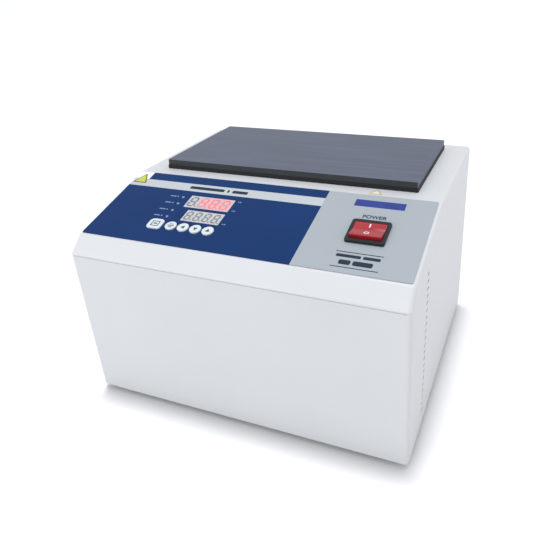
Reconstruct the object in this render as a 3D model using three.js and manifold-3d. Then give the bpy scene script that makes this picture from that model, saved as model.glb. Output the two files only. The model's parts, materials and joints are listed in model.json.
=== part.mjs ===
// Dry block heater: a bench instrument with a sloped control panel and a heated block under a flat lid.
// Millimetres, +Z up, X to the right, +Y to the rear. The origin is on the bench, under the middle.
import * as THREE from "three";
import { mergeVertices } from "three/addons/utils/BufferGeometryUtils.js";
import Module from "manifold-3d";

const wasm = await Module();
wasm.setup();

// ---- Driving dimensions -------------------------------------------------------------------------

// Casing
const BODY_WIDTH = 290;
const BODY_DEPTH = 268;
const SHELL_HEIGHT = 180;
const FOOT_HEIGHT = 5;
const SHEET = 1.5;
const EDGE_RADIUS = 3.5;
const BEND_RADIUS = 4;
const UNDERCUT = 10;
const CREASE_HEIGHT = 142.5;
const BAND_DEPTH = 14;
const BAND_RISE = 13;
const PANEL_RUN = 95.5;
const GAP = 0.3;

// Places worked out from the casing
const FRONT = -BODY_DEPTH / 2;
const REAR = BODY_DEPTH / 2;
const SIDE = BODY_WIDTH / 2;
const DECK_Z = FOOT_HEIGHT + SHELL_HEIGHT;
const CREASE = { y: FRONT, z: FOOT_HEIGHT + CREASE_HEIGHT };
const PANEL_LOW = { y: CREASE.y + BAND_DEPTH, z: CREASE.z + BAND_RISE };
const PANEL_TOP = { y: PANEL_LOW.y + PANEL_RUN, z: DECK_Z };
const PANEL_ANGLE = Math.atan2(PANEL_TOP.z - PANEL_LOW.z, PANEL_RUN);

// Rear wall
const REAR_SHEET = 1.2;
const REAR_RECESS = 4.5;
const REAR_PANEL_Y = REAR - REAR_RECESS;
const REAR_FLANGE = 10;
const REAR_FLANGE_Y = REAR_PANEL_Y - REAR_SHEET - GAP;
const REAR_SCREW_X = 138;
const REAR_SCREW_Z = [24, 176];
const REAR_SCREW = { head: 2.8, headHeight: 1.6, shank: 1.45, length: 6, hole: 1.8 };
const REAR_VENTS = { bankX: 55, count: 9, pitch: 9, width: 3.5, low: 105, high: 150 };

// Base pan, which hangs between the cover's walls
const PAN = { clearance: 0.5, frontSetback: 4, rim: 13 };
const PAN_VENTS = { count: 10, pitch: 15, width: 4, front: 35, rear: 85 };

// Side vents
const VENT_COUNT = 21;
const VENT_PITCH = 6.35;
const VENT_LENGTH = 6;
const VENT_WIDTH = 1.8;
const VENT_Y = FRONT + UNDERCUT + 48;
const VENT_LOWEST_Z = FOOT_HEIGHT + 16;

// Feet
const FOOT_X = 115;
const FOOT_FRONT_Y = -94;
const FOOT_REAR_Y = 104;
const FOOT_RADIUS = 10;
const FOOT_RECESS = { radius: 4.6, height: 2.2 };
const FOOT_SCREW = { head: 4, headHeight: 1.6, shank: 2, length: 7, hole: 2.35 };

// Heated block and its lid
const BLOCK_Y = 55.5;
const OPENING = { width: 210, depth: 97 };
const BLOCK = { width: 202, depth: 89, height: 60, recess: 12 };
const WELL_COLUMNS = 6;
const WELL_ROWS = 3;
const WELL_PITCH_X = 33;
const WELL_PITCH_Y = 28.5;
const WELL_RADIUS = 11;
const WELL_DEPTH = 46;
const TRIM_FLANGE = 6.5;
const TRIM_WALL = 2;
const TRIM_THICKNESS = 2;
const TRIM_SKIRT = 16;
const TRIM_CLEARANCE = 0.5;
const LID = { width: 244, depth: 130, gasket: 3, plate: 5.4, chamfer: 1.4 };
const BLOCK_TOP = DECK_Z - BLOCK.recess;
const BLOCK_BASE = BLOCK_TOP - BLOCK.height;
const HEATER_THICKNESS = 1.5;
const CLAMP_THICKNESS = 3;
const CLAMP_BASE = BLOCK_BASE - HEATER_THICKNESS - CLAMP_THICKNESS - 2 * GAP;
const TRAY_Z = CLAMP_BASE - 16;
const PROBE = { x: -40, z: BLOCK_BASE + 7, radius: 2.2, insideY: 45, outsideY: -22 };
const CUTOUT = { radius: 8, flange: 11, flangeThickness: 1, height: 8 };
const INSULATION = { wall: 14, clearance: 2, window: 20 };
const TRAY_RIM = 18;
const POST = { x: 104, y: 46, radius: 4 };

// Control panel, in its own plane: x across, s down the slope from the top bend, n outward
const OVERLAY = { halfWidth: 141.8, top: 1.2, bottom: 97.2, base: GAP, face: 0.8 };
const DISPLAYS = [
  { name: "display_actual", x: -47.6, s: 38, width: 43.5, height: 17 },
  { name: "display_set", x: -44, s: 57.5, width: 36.3, height: 14.8 },
];
const KEY_ROW_S = 74.3;
const ROUND_KEY_RADIUS = 5.1;
const ROUND_KEYS = [
  { name: "key_shift", x: -65.4 },
  { name: "key_left", x: -53.6 },
  { name: "key_down", x: -41.8 },
  { name: "key_up", x: -30 },
];
const SET_KEY = { name: "key_set", x: -80.6, width: 13.6, height: 12.4 };
const KEY_FACE = 1.8;
const KEY_FLANGE = 0.6;
const LED_X = -76.6;
const LED_RADIUS = 1.5;
const LED_ROWS = [33.4, 43, 52.9, 62.1];
const ROCKER = { x: 97.8, s: 50.5, pivotN: 0.3, tilt: THREE.MathUtils.degToRad(8) };
const ROCKER_BEZEL = { width: 31, height: 27, thickness: 2 };
const ROCKER_BODY = { width: 29.2, height: 23.2, depth: 20 };
const ROCKER_WELL = { width: 26, height: 21, depth: 8 };
const ROCKER_PIN = { radius: 1.5, reach: 0.8, hole: 1.85, holeReach: 1.2, sides: 24 };
const ROCKER_TABS = { x: 7, y: 5, width: 6.3, thickness: 0.8, length: 9 };
const BOARD = { x: -58, s: 55, width: 88, height: 66, face: -8.4, thickness: 1.6 };
const SWITCH = { width: 6, height: 3.6 };

// Electrical parts, which stand on the base pan
const PAN_FLOOR = FOOT_HEIGHT + SHEET + 2 * GAP;
const HEAT_SINK = {
  x: 75, y: -45, width: 70, length: 50, plate: 5, fins: 7, fin: 4, pitch: 11, finHeight: 18,
};
const RELAY = { x: [52, 97], y: [-92, -48], height: 20, strip: 9, inset: 3, stripHeight: 4 };
const SUPPLY = { x: [-110, -30], y: [-98, -42], standoff: 5, thickness: 1.6, post: 2.5, margin: 5 };
const TERMINALS = { x: [-18, 30], y: [-98, -80], height: 10, ribs: 6, rib: 2, pitch: 9.2, ribHeight: 6 };

// Power inlet: heights are from its middle, depths are Y
const INLET = { x: -80, z: 48, innerY: 104, flangeThickness: 2.2, screwX: 20 };
const INLET_BODY = { halfWidth: 13.8, low: -15.4, high: 13.6 };
const INLET_FLANGE = { halfWidth: 25, low: -17, high: 15.2 };
const INLET_SOCKET = { halfWidth: 12.2, low: -5, high: 12, floorY: 115 };
const DRAWER_SLOT = { halfWidth: 10, low: -14, high: -7, floorY: 108 };
const DRAWER = { wall: 0.8, floor: 0.8, front: 2.3, setback: 0.1 };
const FUSE = { radius: 2.35, halfBay: 2.7 };
const PINS = [["line_pin", -7, 3], ["neutral_pin", 7, 3], ["earth_pin", 0, 7]];
const PIN = { halfWidth: 1, halfHeight: 2, innerY: 96, setback: 2 };
const LEAD_RADIUS = 1.5;

// ---- Solids -------------------------------------------------------------------------------------

// A closed three.js geometry as a solid that can be joined and cut.
function solid(geometry, matrix = new THREE.Matrix4()) {
  const bare = geometry.clone();
  bare.deleteAttribute("normal");
  bare.deleteAttribute("uv");
  const merged = mergeVertices(bare, 1e-4).applyMatrix4(matrix);
  const corners = merged.index.array;
  const triangles = [];
  for (let i = 0; i < corners.length; i += 3) {
    const [a, b, c] = [corners[i], corners[i + 1], corners[i + 2]];
    if (a !== b && b !== c && c !== a) triangles.push(a, b, c);
  }
  return new wasm.Manifold(new wasm.Mesh({
    numProp: 3,
    vertProperties: new Float32Array(merged.attributes.position.array),
    triVerts: new Uint32Array(triangles),
  }));
}

// A box between two corners.
function block(low, high) {
  const size = high.map((value, axis) => value - low[axis]);
  const middle = high.map((value, axis) => (value + low[axis]) / 2);
  const move = new THREE.Matrix4().makeTranslation(...middle);
  return solid(new THREE.BoxGeometry(...size), move);
}

// A round bar standing on a point: axis is "x", "y" or "z".
function bar(radius, length, foot, axis = "z", sides = 12) {
  const geometry = new THREE.CylinderGeometry(radius, radius, length, sides);
  geometry.translate(0, length / 2, 0);
  if (axis === "z") geometry.rotateX(Math.PI / 2);
  if (axis === "x") geometry.rotateZ(-Math.PI / 2);
  geometry.translate(...foot);
  return solid(geometry);
}

// A turned piece from its (radius, height) profile, which starts and ends on the axis.
function turned(profile, foot, sides = 12) {
  const points = profile.map(([radius, height]) => new THREE.Vector2(radius, height));
  const geometry = new THREE.LatheGeometry(points, sides);
  geometry.rotateX(Math.PI / 2);
  geometry.translate(...foot);
  return solid(geometry);
}

// A flat shape drawn in (x, y) and raised along z.
function raised(shape, height, foot = [0, 0, 0]) {
  const geometry = new THREE.ExtrudeGeometry(shape, { depth: height, bevelEnabled: false, curveSegments: 3 });
  geometry.translate(...foot);
  return solid(geometry);
}

// A flat shape drawn in (x, z), standing upright between the planes y and y - thickness.
function standing(shape, thickness, y) {
  const turn = new THREE.Matrix4().makeRotationX(Math.PI / 2).setPosition(0, y, 0);
  const options = { depth: thickness, bevelEnabled: false, curveSegments: 3 };
  return solid(new THREE.ExtrudeGeometry(shape, options), turn);
}

// A side profile drawn in (y, z) and stretched along X about the middle, with rounded ends.
function acrossX(shape, width, bevel = 0, curveSegments = 3) {
  const geometry = new THREE.ExtrudeGeometry(shape, {
    depth: width - 2 * bevel,
    bevelEnabled: bevel > 0,
    bevelThickness: bevel,
    bevelSize: bevel,
    bevelOffset: -bevel,
    bevelSegments: 3,
    curveSegments,
  });
  geometry.translate(0, 0, -(width - 2 * bevel) / 2);
  const turn = new THREE.Matrix4().makeBasis(
    new THREE.Vector3(0, 1, 0),
    new THREE.Vector3(0, 0, 1),
    new THREE.Vector3(1, 0, 0),
  );
  return solid(geometry, turn);
}

// A closed outline through points, with its corners rounded where a radius is given.
function outline(points) {
  const shape = new THREE.Shape();
  points.forEach(([x, y, radius = 0], i) => {
    const corner = new THREE.Vector2(x, y);
    const last = points[(i + points.length - 1) % points.length];
    const next = points[(i + 1) % points.length];
    const back = new THREE.Vector2(last[0] - x, last[1] - y).normalize();
    const ahead = new THREE.Vector2(next[0] - x, next[1] - y).normalize();
    const reach = radius / Math.tan(back.angleTo(ahead) / 2);
    const start = corner.clone().addScaledVector(back, reach);
    const end = corner.clone().addScaledVector(ahead, reach);
    if (i === 0) shape.moveTo(start.x, start.y);
    else shape.lineTo(start.x, start.y);
    if (radius > 0) shape.quadraticCurveTo(x, y, end.x, end.y);
  });
  shape.closePath();
  return shape;
}

// A rectangle about a centre, with rounded corners.
function rectangle(width, height, radius = 0, x = 0, y = 0) {
  const [w, h] = [width / 2, height / 2];
  return outline([
    [x - w, y - h, radius],
    [x + w, y - h, radius],
    [x + w, y + h, radius],
    [x - w, y + h, radius],
  ]);
}

// A solid as a named part with a material of its own.
function part(name, body, color, roughness = 0.6, metalness = 0) {
  const mesh = body.getMesh();
  const geometry = new THREE.BufferGeometry();
  geometry.setAttribute("position", new THREE.BufferAttribute(mesh.vertProperties, 3));
  geometry.setIndex(new THREE.BufferAttribute(mesh.triVerts, 1));
  geometry.computeVertexNormals();
  const piece = new THREE.Mesh(geometry, new THREE.MeshStandardMaterial({ color, roughness, metalness }));
  piece.name = name;
  return piece;
}

// ---- Colours ------------------------------------------------------------------------------------

const WHITE_PAINT = "#e2e6e9";
const OVERLAY_BLUE = "#243d6b";
const LID_GREY = "#717887";
const NEAR_BLACK = "#1d2024";
const STEEL = "#b9bcc0";
const ALUMINIUM = "#c9ccd0";
const BOARD_GREEN = "#2f6b45";

// ---- Control panel frame ------------------------------------------------------------------------

// Local x runs across, local y runs up the slope, local z is the outward normal.
const panelPlace = new THREE.Matrix4()
  .makeTranslation(0, PANEL_TOP.y, PANEL_TOP.z)
  .multiply(new THREE.Matrix4().makeRotationX(PANEL_ANGLE));

// Every cut that the panel's fittings make through a sheet between two heights.
function panelCuts(low, high, clearance) {
  const height = high - low;
  const cuts = DISPLAYS.map((d) => block(
    [d.x - d.width / 2 - clearance, -d.s - d.height / 2 - clearance, low],
    [d.x + d.width / 2 + clearance, -d.s + d.height / 2 + clearance, high],
  ));
  for (const key of ROUND_KEYS) {
    cuts.push(bar(ROUND_KEY_RADIUS + clearance, height, [key.x, -KEY_ROW_S, low], "z", 16));
  }
  const setKey = rectangle(SET_KEY.width + 2 * clearance, SET_KEY.height + 2 * clearance, 3);
  cuts.push(raised(setKey, height, [SET_KEY.x, -KEY_ROW_S, low]));
  for (const s of LED_ROWS) {
    cuts.push(bar(LED_RADIUS + clearance, height, [LED_X, -s, low], "z", 10));
  }
  const [w, h] = [ROCKER_BODY.width / 2 + clearance, ROCKER_BODY.height / 2 + clearance];
  cuts.push(block([ROCKER.x - w, -ROCKER.s - h, low], [ROCKER.x + w, -ROCKER.s + h, high]));
  return wasm.Manifold.union(cuts);
}

// ---- Casing -------------------------------------------------------------------------------------

// Side profile of the cover, moved inward by a thickness; it runs on past the open bottom and rear.
function coverProfile(inward, radius) {
  const below = -20;
  const beyond = REAR + 20;
  const lean = UNDERCUT / CREASE_HEIGHT;
  const bandSlope = BAND_RISE / BAND_DEPTH;
  const panelSlope = Math.tan(PANEL_ANGLE);
  const wall = inward * Math.hypot(1, lean);
  const bandDrop = inward * Math.hypot(1, bandSlope);
  const panelDrop = inward * Math.hypot(1, panelSlope);
  const frontAt = (z) => CREASE.y + (CREASE.z - z) * lean + wall;
  const creaseZ = CREASE.z + (bandSlope * wall - bandDrop) / (1 + bandSlope * lean);
  const lowY = PANEL_LOW.y + (bandDrop - panelDrop) / (bandSlope - panelSlope);
  const lowZ = PANEL_LOW.z - panelDrop + panelSlope * (lowY - PANEL_LOW.y);
  const topY = PANEL_TOP.y + (panelDrop - inward) / panelSlope;
  return outline([
    [frontAt(below), below],
    [beyond, below],
    [beyond, DECK_Z - inward],
    [topY, DECK_Z - inward, radius],
    [lowY, lowZ, radius],
    [frontAt(creaseZ), creaseZ, radius],
  ]);
}

function cover() {
  const outer = acrossX(coverProfile(0, BEND_RADIUS), BODY_WIDTH, EDGE_RADIUS);
  const inside = coverProfile(SHEET, BEND_RADIUS - SHEET);
  const inner = acrossX(inside, BODY_WIDTH - 2 * SHEET, EDGE_RADIUS - SHEET);
  const limits = block([-SIDE - 1, FRONT - 1, FOOT_HEIGHT], [SIDE + 1, REAR, DECK_Z + 1]);
  const flangeFrame = block(
    [-SIDE + SHEET / 2, REAR_FLANGE_Y - SHEET, FOOT_HEIGHT + 15],
    [SIDE - SHEET / 2, REAR_FLANGE_Y, DECK_Z - SHEET / 2],
  ).subtract(block(
    [-SIDE + SHEET + REAR_FLANGE, REAR_FLANGE_Y - SHEET - 1, 0],
    [SIDE - SHEET - REAR_FLANGE, REAR_FLANGE_Y + 1, DECK_Z - SHEET - REAR_FLANGE],
  ));
  const cuts = [];
  for (const side of [-1, 1]) {
    for (let i = 0; i < VENT_COUNT; i += 1) {
      const z = VENT_LOWEST_Z + i * VENT_PITCH;
      cuts.push(block(
        [side * SIDE - 3, VENT_Y - VENT_LENGTH / 2, z - VENT_WIDTH / 2],
        [side * SIDE + 3, VENT_Y + VENT_LENGTH / 2, z + VENT_WIDTH / 2],
      ));
    }
    for (const z of REAR_SCREW_Z) {
      cuts.push(bar(REAR_SCREW.hole, 4 * SHEET, [side * REAR_SCREW_X, REAR_FLANGE_Y - 3 * SHEET, z], "y", 8));
    }
  }
  cuts.push(block(
    [-OPENING.width / 2, BLOCK_Y - OPENING.depth / 2, DECK_Z - 3],
    [OPENING.width / 2, BLOCK_Y + OPENING.depth / 2, DECK_Z + 1],
  ));
  cuts.push(panelCuts(-4, 2, 0.35).transform(panelPlace.elements));
  const body = outer.subtract(inner).intersect(limits).add(flangeFrame);
  return part("cover", body.subtract(wasm.Manifold.union(cuts)), WHITE_PAINT, 0.45);
}

function basePan() {
  const x = SIDE - SHEET - PAN.clearance;
  const [front, rear] = [FRONT + UNDERCUT + PAN.frontSetback, REAR_FLANGE_Y];
  const [low, high, rim] = [FOOT_HEIGHT + GAP, FOOT_HEIGHT + GAP + SHEET, FOOT_HEIGHT + PAN.rim];
  const pan = block([-x, front, low], [x, rear, rim])
    .subtract(block([-x + SHEET, front + SHEET, high], [x - SHEET, rear - SHEET, rim + 1]));
  const cuts = [];
  for (const footX of [-FOOT_X, FOOT_X]) {
    for (const footY of [FOOT_FRONT_Y, FOOT_REAR_Y]) {
      cuts.push(bar(FOOT_SCREW.hole, 2 * SHEET, [footX, footY, FOOT_HEIGHT], "z", 8));
    }
  }
  for (let i = 0; i < PAN_VENTS.count; i += 1) {
    const left = (i - (PAN_VENTS.count - 1) / 2) * PAN_VENTS.pitch - PAN_VENTS.width / 2;
    cuts.push(block([left, PAN_VENTS.front, low - 1], [left + PAN_VENTS.width, PAN_VENTS.rear, high + 1]));
  }
  return part("base_pan", pan.subtract(wasm.Manifold.union(cuts)), STEEL, 0.45, 0.8);
}

function rearPanel() {
  const halfWidth = SIDE - SHEET - PAN.clearance;
  const [low, high] = [FOOT_HEIGHT + GAP, DECK_Z - SHEET - PAN.clearance];
  const face = rectangle(2 * halfWidth, high - low, EDGE_RADIUS, 0, (low + high) / 2);
  const plate = standing(face, REAR_SHEET, REAR_PANEL_Y);
  const [near, far] = [REAR_PANEL_Y - REAR_SHEET - 1, REAR_PANEL_Y + 1];
  const inletHalf = INLET_BODY.halfWidth + 0.4;
  const cuts = [block(
    [INLET.x - inletHalf, near, INLET.z + INLET_BODY.low - 0.4],
    [INLET.x + inletHalf, far, INLET.z + INLET_BODY.high + 0.4],
  )];
  for (const side of [-1, 1]) {
    for (const z of REAR_SCREW_Z) {
      cuts.push(bar(REAR_SCREW.hole, far - near, [side * REAR_SCREW_X, near, z], "y", 8));
    }
    cuts.push(bar(REAR_SCREW.hole, far - near, [INLET.x + side * INLET.screwX, near, INLET.z], "y", 8));
    for (let i = 0; i < REAR_VENTS.count; i += 1) {
      const x = side * REAR_VENTS.bankX + (i - (REAR_VENTS.count - 1) / 2) * REAR_VENTS.pitch;
      cuts.push(block(
        [x - REAR_VENTS.width / 2, near, REAR_VENTS.low],
        [x + REAR_VENTS.width / 2, far, REAR_VENTS.high],
      ));
    }
  }
  return part("rear_panel", plate.subtract(wasm.Manifold.union(cuts)), WHITE_PAINT, 0.45);
}

// A pan-head screw whose head rests at z = 0 and whose shank goes down.
function screwSolid({ head, headHeight, shank, length }) {
  return turned([
    [0, -length],
    [shank, -length],
    [shank, 0],
    [head, 0],
    [head, headHeight * 0.55],
    [head * 0.7, headHeight],
    [0, headHeight],
  ], [0, 0, 0]);
}

// A screw driven forward through the rear wall, with its head behind it.
function rearScrew(name, x, y, z) {
  const screw = part(name, screwSolid(REAR_SCREW), STEEL, 0.35, 1);
  screw.rotation.x = -Math.PI / 2;
  screw.position.set(x, y, z);
  return screw;
}

// A rubber foot with its screw, which enters from below.
function foot(place, x, y) {
  const rubber = turned([
    [0, 0],
    [FOOT_RADIUS - 1.5, 0],
    [FOOT_RADIUS - 0.7, 0.7],
    [FOOT_RADIUS, FOOT_HEIGHT],
    [0, FOOT_HEIGHT],
  ], [x, y, 0], 16);
  const recess = bar(FOOT_RECESS.radius, FOOT_RECESS.height + 1, [x, y, -1], "z", 12);
  const hole = bar(FOOT_SCREW.hole, FOOT_HEIGHT + 2, [x, y, -1], "z", 12);
  const screw = part(`foot_screw_${place}`, screwSolid(FOOT_SCREW), STEEL, 0.35, 1);
  screw.rotation.x = Math.PI;
  screw.position.set(x, y, FOOT_RECESS.height - GAP);
  return [part(`foot_${place}`, rubber.subtract(recess).subtract(hole), NEAR_BLACK, 0.9), screw];
}

// ---- Lid, block and heater ----------------------------------------------------------------------

function lid() {
  const gasketBase = DECK_Z + GAP;
  const plateBase = gasketBase + LID.gasket + GAP;
  const inner = {
    width: OPENING.width + 2 * TRIM_FLANGE + 1.2,
    depth: OPENING.depth + 2 * TRIM_FLANGE + 1.2,
  };
  const gasket = raised(rectangle(LID.width, LID.depth, 1.5), LID.gasket, [0, BLOCK_Y, gasketBase])
    .subtract(raised(rectangle(inner.width, inner.depth), LID.gasket + 2, [0, BLOCK_Y, gasketBase - 1]));
  const plateGeometry = new THREE.ExtrudeGeometry(rectangle(LID.width - 1, LID.depth - 1, 2.2), {
    depth: LID.plate - LID.chamfer,
    bevelThickness: LID.chamfer,
    bevelSize: LID.chamfer,
    bevelOffset: -LID.chamfer,
    bevelSegments: 2,
    curveSegments: 3,
  });
  plateGeometry.translate(0, BLOCK_Y, plateBase);
  const top = plateBase + LID.plate;
  const keep = block([-SIDE, FRONT, plateBase], [SIDE, REAR, top]);
  return [
    part("lid_plate", solid(plateGeometry).intersect(keep), LID_GREY, 0.5),
    part("lid_gasket", gasket, NEAR_BLACK, 0.85),
  ];
}

function openingTrim() {
  const outer = { width: OPENING.width - 2 * TRIM_CLEARANCE, depth: OPENING.depth - 2 * TRIM_CLEARANCE };
  const flange = raised(
    rectangle(OPENING.width + 2 * TRIM_FLANGE, OPENING.depth + 2 * TRIM_FLANGE, 2),
    TRIM_THICKNESS,
    [0, BLOCK_Y, DECK_Z + GAP],
  );
  const skirtHeight = TRIM_SKIRT + TRIM_THICKNESS;
  const skirt = raised(rectangle(outer.width, outer.depth), skirtHeight, [0, BLOCK_Y, DECK_Z - TRIM_SKIRT]);
  const way = rectangle(outer.width - 2 * TRIM_WALL, outer.depth - 2 * TRIM_WALL);
  const body = flange.add(skirt).subtract(raised(way, 3 * TRIM_SKIRT, [0, BLOCK_Y, DECK_Z - 2 * TRIM_SKIRT]));
  return part("opening_trim", body, NEAR_BLACK, 0.7);
}

function heatBlock() {
  const body = block(
    [-BLOCK.width / 2, BLOCK_Y - BLOCK.depth / 2, BLOCK_BASE],
    [BLOCK.width / 2, BLOCK_Y + BLOCK.depth / 2, BLOCK_TOP],
  );
  const cuts = [bar(PROBE.radius + GAP, 80, [PROBE.x, PROBE.insideY + 1 - 80, PROBE.z], "y", 12)];
  for (let column = 0; column < WELL_COLUMNS; column += 1) {
    for (let row = 0; row < WELL_ROWS; row += 1) {
      const x = (column - (WELL_COLUMNS - 1) / 2) * WELL_PITCH_X;
      const y = BLOCK_Y + (row - (WELL_ROWS - 1) / 2) * WELL_PITCH_Y;
      cuts.push(bar(WELL_RADIUS, WELL_DEPTH + 5, [x, y, BLOCK_TOP - WELL_DEPTH], "z", 12));
    }
  }
  return part("heat_block", body.subtract(wasm.Manifold.union(cuts)), ALUMINIUM, 0.35, 1);
}

function heater() {
  const [w, d] = [BLOCK.width / 2, BLOCK.depth / 2];
  const filmBase = BLOCK_BASE - GAP - HEATER_THICKNESS;
  const film = block(
    [-w + 4, BLOCK_Y - d + 4, filmBase],
    [w - 4, BLOCK_Y + d - 4, filmBase + HEATER_THICKNESS],
  );
  const clamp = block([-w, BLOCK_Y - d, CLAMP_BASE], [w, BLOCK_Y + d, CLAMP_BASE + CLAMP_THICKNESS]);
  const cutout = turned([
    [0, -CUTOUT.height],
    [CUTOUT.radius - 1, -CUTOUT.height],
    [CUTOUT.radius, 1 - CUTOUT.height],
    [CUTOUT.radius, -CUTOUT.flangeThickness],
    [CUTOUT.flange, -CUTOUT.flangeThickness],
    [CUTOUT.flange, -GAP],
    [0, -GAP],
  ], [0, BLOCK_Y, CLAMP_BASE]);
  const probe = turned([
    [0, 0],
    [PROBE.radius + 1.6, 0],
    [PROBE.radius + 1.6, 8],
    [PROBE.radius, 9],
    [PROBE.radius, PROBE.insideY - PROBE.outsideY],
    [0, PROBE.insideY - PROBE.outsideY],
  ], [0, 0, 0]);
  const probePart = part("temperature_probe", probe, STEEL, 0.3, 1);
  probePart.rotation.x = -Math.PI / 2;
  probePart.position.set(PROBE.x, PROBE.outsideY, PROBE.z);
  return [
    part("heater_film", film, "#9a6a3c", 0.7),
    part("clamp_plate", clamp, ALUMINIUM, 0.4, 1),
    part("thermal_cutout", cutout, "#3a3a3c", 0.6),
    probePart,
  ];
}

function blockHousing() {
  const { wall, clearance, window } = INSULATION;
  const [innerX, innerY] = [BLOCK.width / 2 + clearance, BLOCK.depth / 2 + clearance];
  const [outerX, outerY] = [innerX + wall, innerY + wall];
  const [base, top] = [TRAY_Z + SHEET + GAP, DECK_Z - SHEET - TRIM_SKIRT - GAP];
  const probeHole = bar(PROBE.radius + 0.5, 60, [PROBE.x, BLOCK_Y - outerY - 20, PROBE.z], "y", 10);
  const insulation = block([-outerX, BLOCK_Y - outerY, base], [outerX, BLOCK_Y + outerY, top])
    .subtract(block([-innerX, BLOCK_Y - innerY, CLAMP_BASE - GAP], [innerX, BLOCK_Y + innerY, top + 1]))
    .subtract(block(
      [-innerX + window, BLOCK_Y - innerY + window, base - 1],
      [innerX - window, BLOCK_Y + innerY - window, top],
    ))
    .subtract(probeHole);
  const [trayX, trayY, rim] = [outerX + 0.5 + SHEET, outerY + 0.5 + SHEET, TRAY_Z + TRAY_RIM];
  const tray = block([-trayX, BLOCK_Y - trayY, TRAY_Z], [trayX, BLOCK_Y + trayY, rim])
    .subtract(block(
      [-trayX + SHEET, BLOCK_Y - trayY + SHEET, TRAY_Z + SHEET],
      [trayX - SHEET, BLOCK_Y + trayY - SHEET, rim + 1],
    ));
  const posts = [];
  const height = TRAY_Z - GAP - PAN_FLOOR;
  for (const [row, sideY] of [["front", -1], ["rear", 1]]) {
    for (const [column, sideX] of [["left", -1], ["right", 1]]) {
      const post = bar(POST.radius, height, [sideX * POST.x, BLOCK_Y + sideY * POST.y, PAN_FLOOR], "z", 6);
      posts.push(part(`support_post_${row}_${column}`, post, STEEL, 0.35, 1));
    }
  }
  return [
    part("insulation_surround", insulation, "#dcd6c4", 0.95),
    part("block_tray", tray, STEEL, 0.45, 0.8),
    ...posts,
  ];
}

// ---- Control panel ------------------------------------------------------------------------------

function overlay() {
  const height = OVERLAY.bottom - OVERLAY.top;
  const middle = -(OVERLAY.bottom + OVERLAY.top) / 2;
  const sheet = raised(
    rectangle(2 * OVERLAY.halfWidth, height, 1.5, 0, middle),
    OVERLAY.face - OVERLAY.base,
    [0, 0, OVERLAY.base],
  );
  return part("control_overlay", sheet.subtract(panelCuts(-1, 3, 0.3)), OVERLAY_BLUE, 0.4);
}

function displays() {
  return DISPLAYS.map((d) => {
    const body = block(
      [d.x - d.width / 2, -d.s - d.height / 2, BOARD.face + GAP],
      [d.x + d.width / 2, -d.s + d.height / 2, OVERLAY.face - 0.2],
    );
    return part(d.name, body, "#c3c6cb", 0.5);
  });
}

// A push key: a cap through the panel, with a flange behind the sheet that keeps it in.
function keys() {
  const flangeTop = -SHEET - 0.35;
  const flangeBase = flangeTop - 1;
  const round = ROUND_KEYS.map(({ name, x }) => {
    const body = turned([
      [0, flangeBase],
      [ROUND_KEY_RADIUS + KEY_FLANGE, flangeBase],
      [ROUND_KEY_RADIUS + KEY_FLANGE, flangeTop],
      [ROUND_KEY_RADIUS, flangeTop],
      [ROUND_KEY_RADIUS, KEY_FACE - 0.5],
      [ROUND_KEY_RADIUS - 0.5, KEY_FACE],
      [0, KEY_FACE],
    ], [x, -KEY_ROW_S, 0], 16);
    return part(name, body, "#e8ebee", 0.5);
  });
  const { width, height } = SET_KEY;
  const flange = rectangle(width + 2 * KEY_FLANGE, height + 2 * KEY_FLANGE, 3.4);
  const setKey = raised(flange, 1, [SET_KEY.x, -KEY_ROW_S, flangeBase])
    .add(raised(rectangle(width, height, 3), KEY_FACE - flangeBase, [SET_KEY.x, -KEY_ROW_S, flangeBase]));
  return [part(SET_KEY.name, setKey, "#e8ebee", 0.5), ...round];
}

function indicators() {
  return LED_ROWS.map((s, i) => {
    const body = turned([
      [0, BOARD.face + GAP],
      [LED_RADIUS, BOARD.face + GAP],
      [LED_RADIUS, 0.6],
      [LED_RADIUS * 0.6, 1.1],
      [0, 1.2],
    ], [LED_X, -s, 0], 10);
    return part(`indicator_${i + 1}`, body, "#c9ced6", 0.3);
  });
}

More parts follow.
